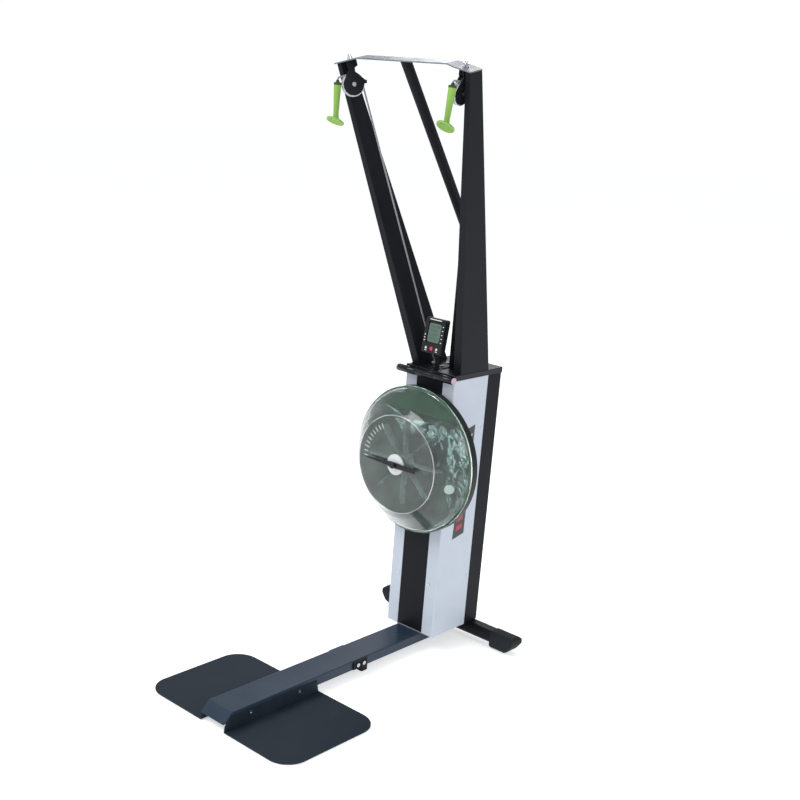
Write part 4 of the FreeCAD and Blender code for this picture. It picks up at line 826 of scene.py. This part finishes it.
def weld(name, start, end, radius, ripples):
    """A bead whose radius is radius * (1 + swell * |sin|), one ripple for each pull of the rod."""
    share = np.linspace(0, 1, ripples * RIPPLE_STEPS + 1)
    path = line(np.array(start), np.array(end), len(share))
    piece = tube(name, path, radius, count=BEAD_SIDES)
    points = np.empty(3 * len(piece.data.vertices))
    piece.data.vertices.foreach_get("co", points)
    points = points.reshape(BEAD_SIDES, len(share), 3)
    swell = 1 + RIPPLE_SWELL * np.abs(np.sin(share * ripples * np.pi))[None, :, None]
    points = path + (points - path) * swell
    piece.data.vertices.foreach_set("co", points.ravel())
    dress(piece, plated_weld)
    return piece


WELD_LIFT, WELD_RADIUS, WELD_RIPPLES = 0.001, 0.0026, 30
post_low, post_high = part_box("front_post")
weld_level = post_low[2] + WELD_LIFT
weld_bead = weld("post_weld", (post_low[0], post_low[1], weld_level),
                 (post_high[0], post_low[1], weld_level), WELD_RADIUS, WELD_RIPPLES)
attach(weld_bead, "stand")
print("weld", round(post_high[0] - post_low[0], 3), "m long,", WELD_RIPPLES, "ripples")

# %% [markdown]
# Each side panel carries a dark slanted badge. It is a thin film on the panel's outer face, with
# plain red and white stripes in place of lettering. A film is four corners, pushed out by its
# thickness; the two sides mirror each other, so one of them goes round its corners the other way,
# which keeps its faces outwards.

# %% The side badges
badge_dark = finish("badge film", (0.016, 0.018, 0.024), 0.30, grain=500, bump=0.03, drift=0.12)
badge_red = finish("badge red", (0.36, 0.02, 0.035), 0.35, grain=500, bump=0.03, drift=0.10)
panel_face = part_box("side_panel_right")[1][0]
BADGE_FILM, STRIPE_FILM = 0.0006, 0.0009
BADGE = [(0.438, 0.862), (0.412, 0.444), (0.476, 0.458), (0.485, 0.874)]
LIGHT_STRIPE = [(0.474, 0.842), (0.470, 0.842), (0.458, 0.812), (0.462, 0.812)]


def film(name, corners, side, thickness, material):
    """A thin sheet on a side panel: four corners (y, z), front to back, on the panel's face."""
    face = side * (panel_face + thickness * np.array([0.1, 1.0]))
    order = corners[::-1] if side < 0 else corners
    points = np.array([[(x, y, z) for x in face] for y, z in order])
    piece = grid_piece(name, points, smooth=False)
    dress(piece, material)
    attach(piece, "stand")


for side_name, side in zip(SIDES, (-1, 1)):
    film(side_name + "_badge", BADGE, side, BADGE_FILM, badge_dark)
    for step, low in enumerate((0.474, 0.508)):
        red_stripe = [(0.462, low + 0.008), (0.462, low + 0.026), (0.428, low + 0.018), (0.428, low)]
        film(f"{side_name}_badge_stripe_{step}", red_stripe, side, STRIPE_FILM, badge_red)
    film(side_name + "_badge_light", LIGHT_STRIPE, side, STRIPE_FILM, mark_white)
print("badges on both panels, film", BADGE_FILM * 1000, "mm thick")

# %% [markdown]
# The studio: a wide pale floor, one large soft light above in front, a second from the side and a
# weaker one behind. The floor glows a little, so that it stays white under the machine and only the
# contact shadows show.

# %% Floor and lights
FLOOR_REACH, FLOOR_DROP, FLOOR_GLOW = 30.0, 0.0005, 0.52
span = (-FLOOR_REACH, FLOOR_REACH)
floor_points = np.array([[(x, y, -FLOOR_DROP) for y in span] for x in span])
floor = grid_piece("floor", floor_points, round_u=False, smooth=False)
floor_white = finish("studio floor", (0.80, 0.80, 0.80), 0.8, grain=60, bump=0.01, drift=0.01, patch=0.5,
                     shine=0.1)
floor_shader = floor_white.node_tree.nodes["Principled BSDF"]
floor_shader.inputs["Emission Color"].default_value = (1, 1, 1, 1)
floor_shader.inputs["Emission Strength"].default_value = FLOOR_GLOW
dress(floor, floor_white)
LIGHTS = (("key", (-1.6, -3.4, 4.4), 3.0, 170),     # name, place, size in metres, power in watts
          ("side", (4.6, -0.6, 3.0), 2.6, 75),
          ("back", (-2.0, 3.6, 3.8), 2.4, 70))
AIM = Vector((0, 0.1, 1.0))
for name, place, size, power in LIGHTS:
    data = bpy.data.lights.new(name, "AREA")
    data.shape = "DISK"
    data.size = size
    data.energy = power
    lamp = bpy.data.objects.new(name, data)
    bpy.context.collection.objects.link(lamp)
    facing = (AIM - Vector(place)).to_track_quat("-Z", "Y").to_matrix().to_4x4()
    lamp.matrix_world = Matrix.Translation(place) @ facing

# %% [markdown]
# The sky does two jobs. Seen straight, it is the white backdrop, so it must be bright. As a light it
# must be weaker, or the dark coats turn grey. The Light Path node tells the two apart: rays from the
# camera see the strong sky, and all others see the weak one.

# %% Sky
SKY_LIGHT, SKY_SEEN = 0.62, 1.06
world = bpy.data.worlds.new("pale sky")
world.use_nodes = True
sky = world.node_tree.nodes["Background"]
sky.inputs["Color"].default_value = (0.95, 0.98, 1.0, 1)
ray = world.node_tree.nodes.new("ShaderNodeLightPath")
strength = world.node_tree.nodes.new("ShaderNodeMapRange")
strength.inputs["To Min"].default_value = SKY_LIGHT
strength.inputs["To Max"].default_value = SKY_SEEN
world.node_tree.links.new(ray.outputs["Is Camera Ray"], strength.inputs["Value"])
world.node_tree.links.new(strength.outputs["Result"], sky.inputs["Strength"])
bpy.context.scene.world = world
bpy.context.scene.view_settings.view_transform = "Standard"
print("sky as a light", SKY_LIGHT, "and as a backdrop", SKY_SEEN)

# %% [markdown]
# The camera stands well behind the user's right shoulder, a little above head height. Its direction
# comes from a compass angle and a tilt, and a small roll turns the view about that direction. The
# shift moves the machine in the frame without turning the camera.

# %% Camera
CAMERA_PLACE = (2.6756, -2.9124, 2.0338)
azimuth, elevation, roll = (math.radians(angle) for angle in (41.444, -18.674, 4.153))
look = Vector((-math.sin(azimuth) * math.cos(elevation), math.cos(azimuth) * math.cos(elevation),
               math.sin(elevation)))
level = Vector((math.cos(azimuth), math.sin(azimuth), 0))
upright = level.cross(look)
right = level * math.cos(roll) + upright * math.sin(roll)
up = upright * math.cos(roll) - level * math.sin(roll)
camera_data = bpy.data.cameras.new("camera")
camera_data.lens = 54.763
camera_data.sensor_width = 36
camera_data.shift_x = 0.02547
camera_data.shift_y = 0.1121
camera = bpy.data.objects.new("camera", camera_data)
bpy.context.collection.objects.link(camera)
turn = Matrix((right, up, -look)).transposed().to_4x4()
camera.matrix_world = Matrix.Translation(CAMERA_PLACE) @ turn
bpy.context.scene.camera = camera
print("camera", [round(value, 3) for value in camera.location])
